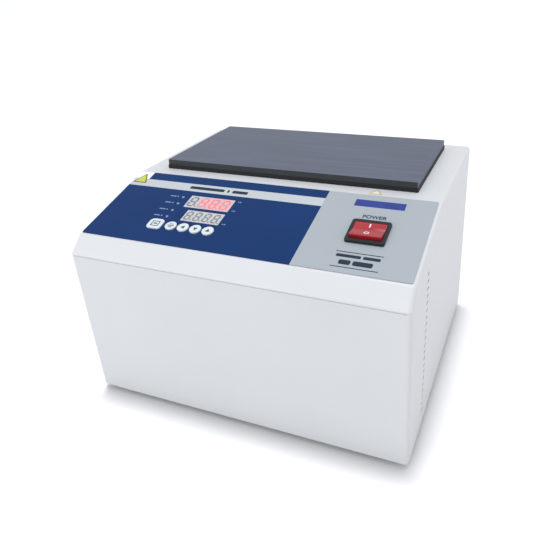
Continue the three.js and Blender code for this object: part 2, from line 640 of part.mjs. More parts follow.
function rockerSwitch() {
  const base = OVERLAY.face + GAP;
  const top = base + ROCKER_BEZEL.thickness;
  const centre = [ROCKER.x, -ROCKER.s];
  const rim = rectangle(ROCKER_BEZEL.width, ROCKER_BEZEL.height, 1.5);
  const bezel = raised(rim, top - base, [...centre, base]);
  const walls = rectangle(ROCKER_BODY.width, ROCKER_BODY.height);
  const body = raised(walls, base + ROCKER_BODY.depth + 0.5, [...centre, -ROCKER_BODY.depth]);
  const hollow = rectangle(ROCKER_WELL.width, ROCKER_WELL.height);
  const well = raised(hollow, ROCKER_WELL.depth + 10, [...centre, -ROCKER_WELL.depth]);
  let housing = bezel.add(body).subtract(well);
  const half = ROCKER_WELL.width / 2;
  const { radius, reach, hole, holeReach, sides } = ROCKER_PIN;
  const holeStart = [ROCKER.x - half - holeReach, -ROCKER.s, ROCKER.pivotN];
  housing = housing.subtract(bar(hole, 2 * (half + holeReach), holeStart, "x", sides));
  const tab = ROCKER_TABS;
  for (const side of [-1, 1]) {
    for (const row of [-1, 1]) {
      const [x, y] = [ROCKER.x + side * tab.x, -ROCKER.s + row * tab.y];
      housing = housing.add(block(
        [x - tab.width / 2, y - tab.thickness / 2, -ROCKER_BODY.depth - tab.length],
        [x + tab.width / 2, y + tab.thickness / 2, -ROCKER_BODY.depth + 2],
      ));
    }
  }
  // Neutral profile about the pivot, in (y, n): two faces in a shallow V over a tapering heel.
  const profile = outline([
    [-9, -1],
    [-2.5, -6, 1],
    [2.5, -6, 1],
    [9, -1],
    [9.6, 4.6, 0.8],
    [0, 3.2, 4],
    [-9.6, 4.6, 0.8],
  ]);
  const rocker = acrossX(profile, ROCKER_WELL.width - 2 * GAP)
    .add(bar(radius, 2 * (half + reach), [-half - reach, 0, 0], "x", sides));
  const rockerPart = part("power_rocker", rocker, "#b8252b", 0.3);
  rockerPart.rotation.x = -ROCKER.tilt;
  rockerPart.position.set(ROCKER.x, -ROCKER.s, ROCKER.pivotN);
  return [part("rocker_housing", housing, NEAR_BLACK, 0.5), rockerPart];
}

// A triangular sticker with its point up the slope or to the rear.
function sticker(name, width, height, place) {
  const triangle = outline([[-width / 2, 0, 0.6], [width / 2, 0, 0.6], [0, height, 0.6]]);
  return part(name, raised(triangle, 0.3, place), "#cfd23a", 0.5);
}

function controlBoard() {
  const { x, s, width, height, face, thickness } = BOARD;
  const [w, h] = [width / 2, height / 2];
  let board = block([x - w, -s - h, face - thickness], [x + w, -s + h, face]);
  for (const key of [SET_KEY, ...ROUND_KEYS]) {
    const [left, low] = [key.x - SWITCH.width / 2, -KEY_ROW_S - SWITCH.width / 2];
    board = board.add(block(
      [left, low, face - 0.5],
      [left + SWITCH.width, low + SWITCH.width, face + SWITCH.height],
    ));
  }
  const under = face - thickness;
  board = board.add(block([x - 30, -s - 10, under - 9], [x - 12, -s + 12, under + 0.5]));
  board = board.add(block([x + 8, -s - 6, under - 3], [x + 24, -s + 10, under + 0.5]));
  return part("control_board", board, BOARD_GREEN, 0.6);
}

// ---- Electrical parts in the base ---------------------------------------------------------------

// The finned sink, drawn upside down: fins from the pan's floor, with the plate over them.
function heatSink() {
  const { width, fins, fin, pitch, finHeight, plate, length } = HEAT_SINK;
  const comb = [];
  for (let i = 0; i < fins; i += 1) {
    const x = -width / 2 + i * pitch;
    comb.push([x, 0], [x + fin, 0]);
    if (i < fins - 1) comb.push([x + fin, finHeight], [x + pitch, finHeight]);
  }
  comb.push([width / 2, finHeight + plate], [-width / 2, finHeight + plate]);
  const sink = part("relay_heat_sink", raised(outline(comb), length), "#8c9096", 0.5, 0.9);
  sink.rotation.x = Math.PI / 2;
  sink.position.set(HEAT_SINK.x, HEAT_SINK.y, PAN_FLOOR);
  return sink;
}

function relay() {
  const base = PAN_FLOOR + HEAT_SINK.finHeight + HEAT_SINK.plate + GAP;
  const [left, right] = RELAY.x;
  const [front, rear] = RELAY.y;
  const top = base + RELAY.height;
  let body = block([left, front, base], [right, rear, top]);
  for (const x of [left + RELAY.inset, right - RELAY.inset - RELAY.strip]) {
    body = body.add(block([x, front + 2, top - 1], [x + RELAY.strip, rear - 2, top + RELAY.stripHeight]));
  }
  return part("solid_state_relay", body, "#2a2c30", 0.6);
}

// The supply's board on standoffs, with its transformer, capacitor and connector.
function powerSupply() {
  const [left, right] = SUPPLY.x;
  const [front, rear] = SUPPLY.y;
  const base = PAN_FLOOR + SUPPLY.standoff;
  const top = base + SUPPLY.thickness;
  let board = block([left, front, base], [right, rear, top]);
  board = board.add(block([left + 6, front + 8, base + 1], [left + 34, front + 36, top + 25.4]));
  board = board.add(bar(8, 22, [left + 55, front + 18, base + 1], "z", 12));
  board = board.add(block([right - 20, rear - 18, base + 1], [right - 4, rear - 6, top + 11.4]));
  for (const x of [left + SUPPLY.margin, right - SUPPLY.margin]) {
    for (const y of [front + 4, rear - 4]) {
      board = board.add(bar(SUPPLY.post, SUPPLY.standoff + 1, [x, y, PAN_FLOOR], "z", 8));
    }
  }
  return part("power_supply_board", board, BOARD_GREEN, 0.6);
}

function terminalStrip() {
  const [left, right] = TERMINALS.x;
  const [front, rear] = TERMINALS.y;
  const top = PAN_FLOOR + TERMINALS.height;
  let strip = block([left, front, PAN_FLOOR], [right, rear, top]);
  for (let i = 0; i < TERMINALS.ribs; i += 1) {
    const x = left + i * TERMINALS.pitch;
    strip = strip.add(block([x, front, top - 1], [x + TERMINALS.rib, rear, top + TERMINALS.ribHeight]));
  }
  return part("terminal_strip", strip, "#2a2c30", 0.6);
}

// An insulated lead along a smooth path.
function lead(name, points, color) {
  const path = new THREE.CatmullRomCurve3(points.map((point) => new THREE.Vector3(...point)));
  const section = new THREE.Shape().absarc(0, 0, LEAD_RADIUS, 0, Math.PI * 2);
  const geometry = new THREE.ExtrudeGeometry(section, { extrudePath: path, steps: 24, curveSegments: 4 });
  return part(name, solid(geometry), color, 0.6);
}

// ---- Power inlet --------------------------------------------------------------------------------

function powerInlet() {
  const { x, z } = INLET;
  const flangeBase = REAR_PANEL_Y + GAP;
  const face = flangeBase + INLET.flangeThickness;
  // A block about the inlet's middle: half width, heights from the middle, and two depths.
  const about = ({ halfWidth, low, high }, near, far) => block(
    [x - halfWidth, near, z + low],
    [x + halfWidth, far, z + high],
  );
  let housing = about(INLET_BODY, INLET.innerY, face)
    .add(about(INLET_FLANGE, flangeBase, face))
    .subtract(about(INLET_SOCKET, INLET_SOCKET.floorY, face + 1))
    .subtract(about(DRAWER_SLOT, DRAWER_SLOT.floorY, face + 1));
  const pinParts = PINS.map(([name, dx, dz]) => {
    const section = (grow) => ({
      halfWidth: PIN.halfWidth + grow,
      low: dz - PIN.halfHeight - grow,
      high: dz + PIN.halfHeight + grow,
    });
    const way = about(section(GAP), INLET.innerY - 1, INLET_SOCKET.floorY + 1);
    housing = housing.subtract(way.translate([dx, 0, 0]));
    const blade = about(section(0), PIN.innerY, face - PIN.setback);
    return part(name, blade.translate([dx, 0, 0]), "#c8b27a", 0.3, 1);
  });
  for (const side of [-1, 1]) {
    housing = housing.subtract(bar(REAR_SCREW.hole, 6, [x + side * INLET.screwX, flangeBase - 1, z], "y", 8));
  }
  const drawerStart = DRAWER_SLOT.floorY + GAP + DRAWER.setback;
  const bay = {
    low: DRAWER_SLOT.low + GAP + DRAWER.wall,
    high: DRAWER_SLOT.high + 1,
    start: drawerStart + DRAWER.floor,
    end: face - DRAWER.setback - DRAWER.front,
  };
  const tray = {
    halfWidth: DRAWER_SLOT.halfWidth - GAP,
    low: DRAWER_SLOT.low + GAP,
    high: DRAWER_SLOT.high - GAP,
  };
  const drawer = about(tray, drawerStart, face - DRAWER.setback)
    .subtract(about({ halfWidth: FUSE.halfBay, low: bay.low, high: bay.high }, bay.start, bay.end));
  const fuseFoot = [x, bay.start + GAP, z + bay.low + GAP + FUSE.radius];
  const fuse = bar(FUSE.radius, bay.end - bay.start - 2 * GAP, fuseFoot, "y", 10);
  return [
    part("inlet_housing", housing, NEAR_BLACK, 0.5),
    ...pinParts,
    part("fuse_drawer", drawer, "#26292e", 0.5),
    part("fuse", fuse, "#cfd4d8", 0.2),
    rearScrew("inlet_screw_left", x - INLET.screwX, face + GAP, z),
    rearScrew("inlet_screw_right", x + INLET.screwX, face + GAP, z),
  ];
}

// ---- Assembly -----------------------------------------------------------------------------------

const heaterUnit = new THREE.Group();
heaterUnit.name = "dry_block_heater";

heaterUnit.add(cover(), basePan(), rearPanel());
heaterUnit.add(...foot("front_left", -FOOT_X, FOOT_FRONT_Y), ...foot("front_right", FOOT_X, FOOT_FRONT_Y));
heaterUnit.add(...foot("rear_left", -FOOT_X, FOOT_REAR_Y), ...foot("rear_right", FOOT_X, FOOT_REAR_Y));
REAR_SCREW_Z.forEach((z, row) => {
  const height = ["lower", "upper"][row];
  heaterUnit.add(rearScrew(`rear_screw_${height}_left`, -REAR_SCREW_X, REAR_PANEL_Y + GAP, z));
  heaterUnit.add(rearScrew(`rear_screw_${height}_right`, REAR_SCREW_X, REAR_PANEL_Y + GAP, z));
});

heaterUnit.add(...lid(), openingTrim(), heatBlock(), ...heater(), ...blockHousing());

const panel = new THREE.Group();
panel.position.set(0, PANEL_TOP.y, PANEL_TOP.z);
panel.rotation.x = PANEL_ANGLE;
panel.add(overlay(), ...displays(), ...keys(), ...indicators(), ...rockerSwitch(), controlBoard());
panel.add(sticker("panel_label", 15.2, 15.5, [-133, -19, OVERLAY.face + GAP]));
heaterUnit.add(panel);
heaterUnit.add(sticker("deck_label", 13, 11.5, [89, PANEL_TOP.y + 2, DECK_Z + GAP]));

heaterUnit.add(heatSink(), relay(), powerSupply(), terminalStrip(), ...powerInlet());
heaterUnit.add(lead("probe_lead", [
  [PROBE.x, PROBE.outsideY - 0.7, PROBE.z],
  [PROBE.x, PROBE.outsideY - 12, PROBE.z - 2],
  [PROBE.x, PROBE.outsideY - 38, PROBE.z - 8],
  [PROBE.x, PROBE.outsideY - 54, PROBE.z + 8],
  [PROBE.x, PROBE.outsideY - 56, PROBE.z + 30],
], "#d9d9d4"));
heaterUnit.add(lead("earth_lead", [
  [INLET.x, 95.3, INLET.z + 7],
  [INLET.x, 84, INLET.z + 6],
  [INLET.x + 4, 72, 38],
  [INLET.x + 6, 66, 20],
  [INLET.x + 6, 65, 8.2],
], "#4c8f3d"));

export default heaterUnit;
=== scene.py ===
import json
import math

import bmesh
import bpy
from mathutils import Matrix, Vector


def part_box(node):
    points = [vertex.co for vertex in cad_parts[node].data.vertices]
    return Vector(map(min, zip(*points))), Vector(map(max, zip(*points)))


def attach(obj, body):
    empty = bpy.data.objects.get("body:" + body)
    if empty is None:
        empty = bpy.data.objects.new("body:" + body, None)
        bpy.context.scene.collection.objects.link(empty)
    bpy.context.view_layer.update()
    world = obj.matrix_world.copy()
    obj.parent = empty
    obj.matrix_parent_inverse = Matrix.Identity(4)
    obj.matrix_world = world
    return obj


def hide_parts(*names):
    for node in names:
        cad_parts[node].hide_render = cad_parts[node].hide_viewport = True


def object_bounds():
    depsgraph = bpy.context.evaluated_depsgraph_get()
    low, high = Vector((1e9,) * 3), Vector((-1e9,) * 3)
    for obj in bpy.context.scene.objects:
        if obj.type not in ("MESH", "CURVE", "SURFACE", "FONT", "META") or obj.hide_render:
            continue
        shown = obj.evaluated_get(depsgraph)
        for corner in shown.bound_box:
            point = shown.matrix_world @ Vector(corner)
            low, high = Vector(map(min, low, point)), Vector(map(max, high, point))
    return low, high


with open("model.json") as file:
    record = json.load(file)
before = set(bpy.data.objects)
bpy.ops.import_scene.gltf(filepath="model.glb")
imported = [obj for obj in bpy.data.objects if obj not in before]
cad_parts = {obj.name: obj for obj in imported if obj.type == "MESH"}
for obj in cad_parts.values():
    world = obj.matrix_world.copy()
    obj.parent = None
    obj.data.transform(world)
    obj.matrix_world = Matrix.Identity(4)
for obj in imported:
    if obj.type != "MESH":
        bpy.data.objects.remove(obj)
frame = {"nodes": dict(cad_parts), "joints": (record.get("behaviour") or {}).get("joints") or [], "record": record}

cad_low, cad_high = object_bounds()

MM = 0.001

# Camera: the viewing direction, and where it stands in metres from the middle of the base.
CAMERA_AZIMUTH = math.radians(24.54)
CAMERA_ELEVATION = math.radians(22.857)
CAMERA_ROLL = math.radians(-2.968)
CAMERA_PLACE = Vector((0.2103, -0.4800, 0.3676))
CAMERA_LENS = 38.79
CAMERA_SHIFT = -0.116

# Casing: the folded cover, its vents and the rear wall.
SHEET = 1.5 * MM
EDGE_RADIUS = 3.5 * MM
BEND_RADIUS = 4 * MM
CREASE_RADIUS = 2 * MM
EDGE_STEPS = 6
GROOVE_DEPTH = 0.45 * MM
GROOVE_WIDTH = 0.7 * MM
GROOVE_DROP = 1.6 * MM
UNDERCUT = 10 * MM
CREASE_HEIGHT = 142.5 * MM
BAND_DEPTH = 14 * MM
BAND_RISE = 13 * MM
VENT_COUNT = 21
VENT_PITCH = 6.35 * MM
VENT_LENGTH = 6 * MM
VENT_WIDTH = 1.8 * MM
VENT_SETBACK = 48 * MM
VENT_LOWEST = 16 * MM
REAR_VENT_COUNT = 9
REAR_VENT_PITCH = 9 * MM
REAR_VENT_LENGTH = 45 * MM
REAR_VENT_WIDTH = 3.5 * MM
REAR_VENT_BANK = 55 * MM
REAR_VENT_HEIGHT = 127.5 * MM
INLET_CUTOUT = (28.4 * MM, 29.8 * MM)

# Screws and feet.
REAR_SCREWS = ["rear_screw_" + spot for spot in ("lower_left", "lower_right", "upper_left", "upper_right")]
INLET_SCREWS = ["inlet_screw_left", "inlet_screw_right"]
SCREW_HOLE = 1.7 * MM
SCREW_SHANK = 1.45 * MM
SCREW_LENGTH = 6 * MM
SCREW_TURN = 0.4
FOOT_PLACES = ("front_left", "front_right", "rear_left", "rear_right")
FOOT_SCREW_SHANK = 2 * MM
FOOT_SCREW_LENGTH = 7 * MM
FOOT_SCREW_HOLE = 2.35 * MM
FOOT_RIM = 1.2 * MM
FOOT_RECESS_RADIUS = 4.6 * MM
FOOT_RECESS_DEPTH = 2.2 * MM

# Lid, trim and block.
LID_CORNER = 0.9 * MM
GASKET_CORNER = 0.8 * MM
GASKET_GAP = 0.6 * MM
TRIM_OVERLAP = 6.5 * MM
TRIM_FLANGE = 2.2 * MM
TRIM_INSET = 7 * MM
TRIM_WALL = 2 * MM
WELL_RADIUS = 11 * MM
WELL_MOUTH = 0.8 * MM
DRILL_POINT = 2.5 * MM

# Printed film: the blue field ends at PRINT_EDGE, and a pale stripe crosses it.
PRINT_EDGE = 50.7 * MM
STRIPE_TOP = 12.4 * MM
STRIPE_BOTTOM = 23.6 * MM
LABEL_CORNER = 126.4 * MM
FILM_BASE = 0.05 * MM
FILM_FACE = 0.8 * MM
PRINT_LIFT = 0.05 * MM
BADGE_SIZE = (41.5 * MM, 9 * MM)
BADGE_PLACE = (97.3 * MM, -13.2 * MM)
POWER_PLACE = (97.3 * MM, -30.6 * MM)
POWER_SIZE = 5.6 * MM
POWER_WEIGHT = 0.15 * MM
FOOTER_X = 98 * MM
FOOTER_RULES = (-75 * MM, -91.6 * MM)
STRIPE_CAPTION_X = -48.5 * MM
LAMP_MARK_GAP = 7.4 * MM
UNIT_MARK_X = -21 * MM
UNIT_MARK_ROWS = (-31.5 * MM, -44.5 * MM, -63 * MM)

# Keys, lamps, displays and switch.
ROUND_KEYS = ("key_shift", "key_left", "key_down", "key_up")
INDICATORS = ["indicator_%d" % i for i in range(1, 5)]
ROUND_KEY_RADIUS = 5.1 * MM
SET_KEY_WIDTH = 13.6 * MM
SET_KEY_HEIGHT = 12.4 * MM
SET_KEY_CORNER = 3 * MM
LAMP_RADIUS = 1.5 * MM
LAMP_WALL = 0.4 * MM
LAMP_DOME = 0.8 * MM
DIGIT_PITCHES = 4.15
DIGIT_SHIFT = 0.5 * MM
DIGIT_SLANT = 0.09
SWITCH_BODY_INSET = (1.8 * MM, 3.8 * MM)
SWITCH_WELL = (26 * MM, 21 * MM)
SWITCH_WELL_DEPTH = 8 * MM
SWITCH_TILT = math.radians(-8)
PIVOT_RISE = 0.3 * MM
ROCKER_HALF = 12.7 * MM
ROCKER_CROWN = 3.2 * MM
ROCKER_LEAN = math.atan2(1.4, 9.6)
PIN_RADIUS = 1.5 * MM
PIN_REACH = 13.8 * MM
PIN_HOLE = 1.85 * MM
PIN_HOLE_REACH = 14.5 * MM

# Mains inlet.
INLET_CORNER = 5 * MM
INLET_BODY = (27.6 * MM, 29 * MM)
SOCKET_HALF = 12 * MM
SOCKET_SHOULDER = 7.5 * MM
SOCKET_CHAMFER = 4.5 * MM
SOCKET_BELOW = 4.1 * MM
SOCKET_ABOVE = 12.9 * MM
SOCKET_DEPTH = 16.5 * MM
DRAWER_GAP = 0.2 * MM
FUSE_CAP = 5 * MM
INLET_BLADES = ("line_pin", "neutral_pin", "earth_pin")
BLADE_SLOT = (2.3 * MM, 4.3 * MM)

SEGMENTS_OF = {"0": "abcdef", "4": "bcfg", "8": "abcdefg"}

TURN_STEPS = 48
FINE_STEPS = 24


# ---- Frame helpers ----

def joint(name):
    """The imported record's entry for one joint."""
    return next(j for j in frame["joints"] if j["name"] == name)


def panel_frame():
    """The control panel's own frame: x across, y up the slope, z outward, origin at the top bend."""
    normal = -Vector(joint("key_set_press")["axis"]).normalized()
    across = Vector((1, 0, 0))
    up_slope = normal.cross(across)
    pivot = Vector(joint("rocker_tilt")["pos_m"]) - normal * PIVOT_RISE
    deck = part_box("cover")[1].z
    bend = Vector((0, pivot.y - (deck - pivot.z) * normal.z / normal.y, deck))
    place = Matrix((across, up_slope, normal)).transposed().to_4x4()
    place.translation = bend
    return place


PANEL = panel_frame()


def panel_box(node):
    """Lowest and highest corner of a CAD node in the panel's own frame."""
    back = PANEL.inverted()
    corners = [back @ vertex.co for vertex in frame["nodes"][node].data.vertices]
    low = Vector(min(c[axis] for c in corners) for axis in range(3))
    high = Vector(max(c[axis] for c in corners) for axis in range(3))
    return low, high


def upright(x=0.0, y=0.0, z=0.0):
    """Local x stays across, local y points up and local z points to the front."""
    return Matrix.Translation((x, y, z)) @ Matrix.Rotation(math.pi / 2, 4, "X")


def sideways(x=0.0, y=0.0, z=0.0):
    """Local x points to the rear, local y points up and local z points across."""
    return Matrix.Translation((x, y, z)) @ Matrix(((0, 0, 1, 0), (1, 0, 0, 0), (0, 1, 0, 0), (0, 0, 0, 1)))


# ---- Outlines ----

def rounded(corners, steps=6):
    """A closed outline through (x, y, radius) corners, with each corner turned on an arc."""
    points = []
    for i, (x, y, radius) in enumerate(corners):
        corner = Vector((x, y))
        last = Vector(corners[i - 1][:2])
        following = Vector(corners[(i + 1) % len(corners)][:2])
        back = (last - corner).normalized()
        ahead = (following - corner).normalized()
        if radius <= 0:
            points.append(corner)
            continue
        half = back.angle(ahead) / 2
        reach = radius / math.tan(half)
        centre = corner + (back + ahead).normalized() * radius / math.sin(half)
        start = corner + back * reach - centre
        sweep = start.angle_signed(corner + ahead * reach - centre)
        for step in range(steps + 1):
            turn = Matrix.Rotation(-sweep * step / steps, 2)
            points.append(centre + turn @ start)
    return points


def rectangle(width, height, radius=0.0, x=0.0, y=0.0, steps=6):
    """A rectangle about a centre, with rounded corners."""
    w, h = width / 2, height / 2
    corners = [(x - w, y - h), (x + w, y - h), (x + w, y + h), (x - w, y + h)]
    return rounded([(cx, cy, radius) for cx, cy in corners], steps)


def middle(box, axes="xy"):
    """The middle of a box along two axes."""
    low, high = box
    return [(getattr(low, axis) + getattr(high, axis)) / 2 for axis in axes]


def footprint(box, corner=0.0, grow=0.0, axes="xy", steps=6):
    """The outline of a box seen along its third axis, grown on every side."""
    low, high = box
    size = [getattr(high, axis) - getattr(low, axis) + 2 * grow for axis in axes]
    return rectangle(*size, corner, *middle(box, axes), steps)


def circle(radius, x=0.0, y=0.0, steps=TURN_STEPS):
    """A circle about a centre."""
    angles = [2 * math.pi * i / steps for i in range(steps)]
    return [Vector((x + radius * math.cos(a), y + radius * math.sin(a))) for a in angles]


def slot_outline(length, width, x=0.0, y=0.0, steps=8):
    """A slot with round ends, lying along x."""
    return rectangle(length, width, width / 2 * 0.999, x, y, steps)


def triangle(width, height, radius, x=0.0, y=0.0):
    """A triangle with its point up, standing on (x, y)."""
    return rounded([(x - width / 2, y, radius), (x + width / 2, y, radius), (x, y + height, radius)], 4)


# ---- Solids ----

def prism(bm, outline, low, high, place=Matrix(), ease=0.0, ease_low=0.0, steps=3):
    """Adds a closed prism over an outline, with its upper and lower rims eased where asked."""
    bottom = [bm.verts.new((p[0], p[1], low)) for p in outline]
    top = [bm.verts.new((p[0], p[1], high)) for p in outline]
    faces = [bm.faces.new(list(reversed(bottom))), bm.faces.new(top)]
    count = len(outline)
    for i in range(count):
        j = (i + 1) % count
        faces.append(bm.faces.new((bottom[i], bottom[j], top[j], top[i])))
    made = bottom + top
    for face, amount in ((faces[1], ease), (faces[0], ease_low)):
        if amount > 0:
            result = bmesh.ops.bevel(bm, geom=list(face.edges), offset=amount, offset_type="OFFSET",
                                     segments=steps, profile=0.5, affect="EDGES", clamp_overlap=False)
            made = [v for v in made if v.is_valid] + result["verts"]
    made = list({v for v in made if v.is_valid})
    bmesh.ops.transform(bm, matrix=place, verts=made)


def spin(bm, profile, place=Matrix(), steps=TURN_STEPS):
    """Adds a turned solid from a (radius, height) profile that starts and ends on the axis."""
    rings = []
    for radius, height in profile:
        points = circle(radius, steps=steps) if radius > 0 else [(0, 0)]
        rings.append([bm.verts.new(place @ Vector((*point, height))) for point in points])
    for lower, upper in zip(rings, rings[1:]):
        for i in range(steps):
            j = (i + 1) % steps
            if len(lower) == 1:
                bm.faces.new((lower[0], upper[j], upper[i]))
            elif len(upper) == 1:
                bm.faces.new((lower[i], lower[j], upper[0]))
            else:
                bm.faces.new((lower[i], lower[j], upper[j], upper[i]))


def ring(bm, outer, inner, low, high, place, steps=32):
    """A flat ring."""
    rows = []
    for radius, height in ((outer, low), (outer, high), (inner, high), (inner, low)):
        rows.append([bm.verts.new(place @ Vector((p.x, p.y, height))) for p in circle(radius, steps=steps)])
    for a, b in zip(rows, rows[1:] + rows[:1]):
        for i in range(steps):
            j = (i + 1) % steps
            bm.faces.new((a[i], a[j], b[j], b[i]))


def arc_profile(centre_r, centre_h, radius, start, end, steps=5):
    """Points of a rim's arc in a (radius, height) profile, between two angles in degrees."""
    points = []
    for i in range(steps + 1):
        angle = math.radians(start + (end - start) * i / steps)
        points.append((centre_r + radius * math.cos(angle), centre_h + radius * math.sin(angle)))
    return points


def to_object(name, bm):
    """A new object from a bmesh, linked to the scene."""
    bmesh.ops.recalc_face_normals(bm, faces=bm.faces)
    mesh = bpy.data.meshes.new(name)
    bm.to_mesh(mesh)
    bm.free()
    obj = bpy.data.objects.new(name, mesh)
    bpy.context.scene.collection.objects.link(obj)
    return obj


def solid(name, build):
    """A new object from a function that fills a bmesh."""
    bm = bmesh.new()
    build(bm)
    return to_object(name, bm)


def slab(name, outline, low, high, place=Matrix(), **rims):
    """A new object that is one prism over an outline."""
    return solid(name, lambda bm: prism(bm, outline, low, high, place, **rims))


def apply_modifiers(obj):
    """Makes the object's modifiers part of its mesh."""
    depsgraph = bpy.context.evaluated_depsgraph_get()
    baked = bpy.data.meshes.new_from_object(obj.evaluated_get(depsgraph))
    obj.modifiers.clear()
    old = obj.data
    obj.data = baked
    bpy.data.meshes.remove(old)


def carve(obj, build, operation="DIFFERENCE"):
    """Cuts away what a function puts in a bmesh, or joins it with the operation UNION."""
    cutter = solid("cutter", build)
    modifier = obj.modifiers.new("carve", "BOOLEAN")
    modifier.operation = operation
    modifier.solver = "EXACT"
    modifier.use_self = True
    modifier.object = cutter
    apply_modifiers(obj)
    old = cutter.data
    bpy.data.objects.remove(cutter)
    bpy.data.meshes.remove(old)


def punch(obj, outline, low, high, place=Matrix(), operation="DIFFERENCE"):
    """Cuts one prism away from an object, or joins it with the operation UNION."""
    carve(obj, lambda bm: prism(bm, outline, low, high, place), operation)


def shade(obj, angle):
    """Smooth faces, with sharp edges where the surface turns by more than an angle."""
    bm = bmesh.new()
    bm.from_mesh(obj.data)
    for face in bm.faces:
        face.smooth = True
    limit = math.radians(angle)
    for edge in bm.edges:
        edge.smooth = edge.calc_face_angle(0) < limit
    bm.to_mesh(obj.data)
    bm.free()
    modifier = obj.modifiers.new("weighted_normals", "WEIGHTED_NORMAL")
    modifier.keep_sharp = True


def place_piece(obj, slot, *replaced, material=None, body="chassis", angle=32):
    """Gives a piece its shading, material (its slot's if none is given) and body; hides the CAD nodes it replaces.
    """
    shade(obj, angle)
    obj.data.materials.clear()
    obj.data.materials.append(material or SLOT_MATERIAL[slot])
    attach(obj, body)
    if replaced:
        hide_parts(*replaced)


# ---- Materials ----

def surface(name, color, roughness, metallic=0.0, tint=0.03, tint_scale=40.0, bump=0.0, bump_scale=900.0,
            bump_depth=0.05, stretch=None, rough_spread=0.0, **sockets):
    """A Principled material with a slight colour variation, roughness variation and a fine relief."""
    material = bpy.data.materials.new(name)
    material.use_nodes = True
    tree = material.node_tree
    shader = tree.nodes["Principled BSDF"]
    shader.inputs["Roughness"].default_value = roughness
    shader.inputs["Metallic"].default_value = metallic
    for socket, value in sockets.items():
        shader.inputs[socket.replace("_", " ")].default_value = value
    coordinates = tree.nodes.new("ShaderNodeTexCoord")
    mapping = tree.nodes.new("ShaderNodeMapping")
    tree.links.new(coordinates.outputs["Object"], mapping.inputs["Vector"])
    if stretch:
        mapping.inputs["Scale"].default_value = stretch
    cloud = tree.nodes.new("ShaderNodeTexNoise")
    cloud.inputs["Scale"].default_value = tint_scale
    cloud.inputs["Detail"].default_value = 4
    tree.links.new(mapping.outputs["Vector"], cloud.inputs["Vector"])
    ramp = tree.nodes.new("ShaderNodeValToRGB")
    ramp.color_ramp.elements[0].position = 0.3
    ramp.color_ramp.elements[1].position = 0.7
    ramp.color_ramp.elements[0].color = (*[c * (1 - tint) for c in color], 1)
    ramp.color_ramp.elements[1].color = (*[min(1, c * (1 + tint)) for c in color], 1)
    tree.links.new(cloud.outputs["Fac"], ramp.inputs["Fac"])
    tree.links.new(ramp.outputs["Color"], shader.inputs["Base Color"])
    if rough_spread:
        spread = tree.nodes.new("ShaderNodeMapRange")
        spread.inputs["To Min"].default_value = roughness - rough_spread
        spread.inputs["To Max"].default_value = roughness + rough_spread
        tree.links.new(cloud.outputs["Fac"], spread.inputs["Value"])
        tree.links.new(spread.outputs["Result"], shader.inputs["Roughness"])
    if bump:
        grain = tree.nodes.new("ShaderNodeTexNoise")
        grain.inputs["Scale"].default_value = bump_scale
        grain.inputs["Detail"].default_value = 3
        tree.links.new(mapping.outputs["Vector"], grain.inputs["Vector"])
        relief = tree.nodes.new("ShaderNodeBump")
        relief.inputs["Strength"].default_value = bump
        relief.inputs["Distance"].default_value = bump_depth * MM
        tree.links.new(grain.outputs["Fac"], relief.inputs["Height"])
        tree.links.new(relief.outputs["Normal"], shader.inputs["Normal"])
    return material


FILM_GRAIN = {"tint_scale": 18, "bump": 0.15, "bump_scale": 2500, "bump_depth": 0.01}

PAINT = surface("powder_coat", (0.553, 0.566, 0.584), 0.42, tint=0.012, tint_scale=12, bump=0.35,
                bump_scale=1400, bump_depth=0.02, rough_spread=0.05)
FILM_GREY = surface("film_grey", (0.308, 0.343, 0.376), 0.38, tint=0.012, **FILM_GRAIN)
FILM_STRIPE = surface("film_stripe", (0.42, 0.45, 0.475), 0.38, tint=0.012, **FILM_GRAIN)
FILM_BLUE = surface("film_blue", (0.0075, 0.031, 0.118), 0.32, tint=0.05, Specular_IOR_Level=0.06,
                    **FILM_GRAIN)
FILM_WHITE = surface("film_white", (0.70, 0.72, 0.74), 0.38, tint=0.012, **FILM_GRAIN)
LID_PAINT = surface("lid_coat", (0.078, 0.092, 0.130), 0.45, tint=0.16, tint_scale=60, bump=0.3,
                    bump_scale=220, bump_depth=0.05, stretch=(0.25, 5, 1), rough_spread=0.04,
                    Specular_IOR_Level=0.3)
# A darker copy of the lid coat: painted shade for the lid's front and rear faces.
LID_PAINTED_SHADE = surface("lid_painted_shade", (0.022, 0.026, 0.030), 0.4, tint=0.15, tint_scale=90, bump=0.3,
                   bump_scale=400, bump_depth=0.03, stretch=(0.25, 1, 4), Specular_IOR_Level=0.3)
RUBBER = surface("black_rubber", (0.010, 0.012, 0.014), 0.6, tint=0.15, tint_scale=80, bump=0.3,
                 bump_scale=2200, bump_depth=0.02, Specular_IOR_Level=0.25)
BLACK_PLASTIC = surface("black_plastic", (0.012, 0.015, 0.018), 0.45, tint=0.1, tint_scale=120, bump=0.3,
                        bump_scale=3000, bump_depth=0.012, Specular_IOR_Level=0.25)
RED_PLASTIC = surface("red_plastic", (0.32, 0.010, 0.018), 0.25, tint=0.08, tint_scale=60,
                      Coat_Weight=0.2, Coat_Roughness=0.12)
KEY_PLASTIC = surface("key_plastic", (0.56, 0.61, 0.64), 0.4, tint=0.02, tint_scale=150, bump=0.15,
                      bump_scale=3000, bump_depth=0.01)
KEY_INK = surface("key_ink", (0.03, 0.05, 0.06), 0.5, tint=0.1, tint_scale=200)
PALE_INK = surface("pale_ink", (0.17, 0.25, 0.37), 0.5, tint=0.05, tint_scale=200,
                   Specular_IOR_Level=0.1)
DARK_INK = surface("dark_ink", (0.018, 0.03, 0.05), 0.5, tint=0.1, tint_scale=200,
                   Specular_IOR_Level=0.1)
BLUE_INK = surface("blue_ink", (0.030, 0.048, 0.215), 0.45, tint=0.12, tint_scale=160,
                   Specular_IOR_Level=0.1)
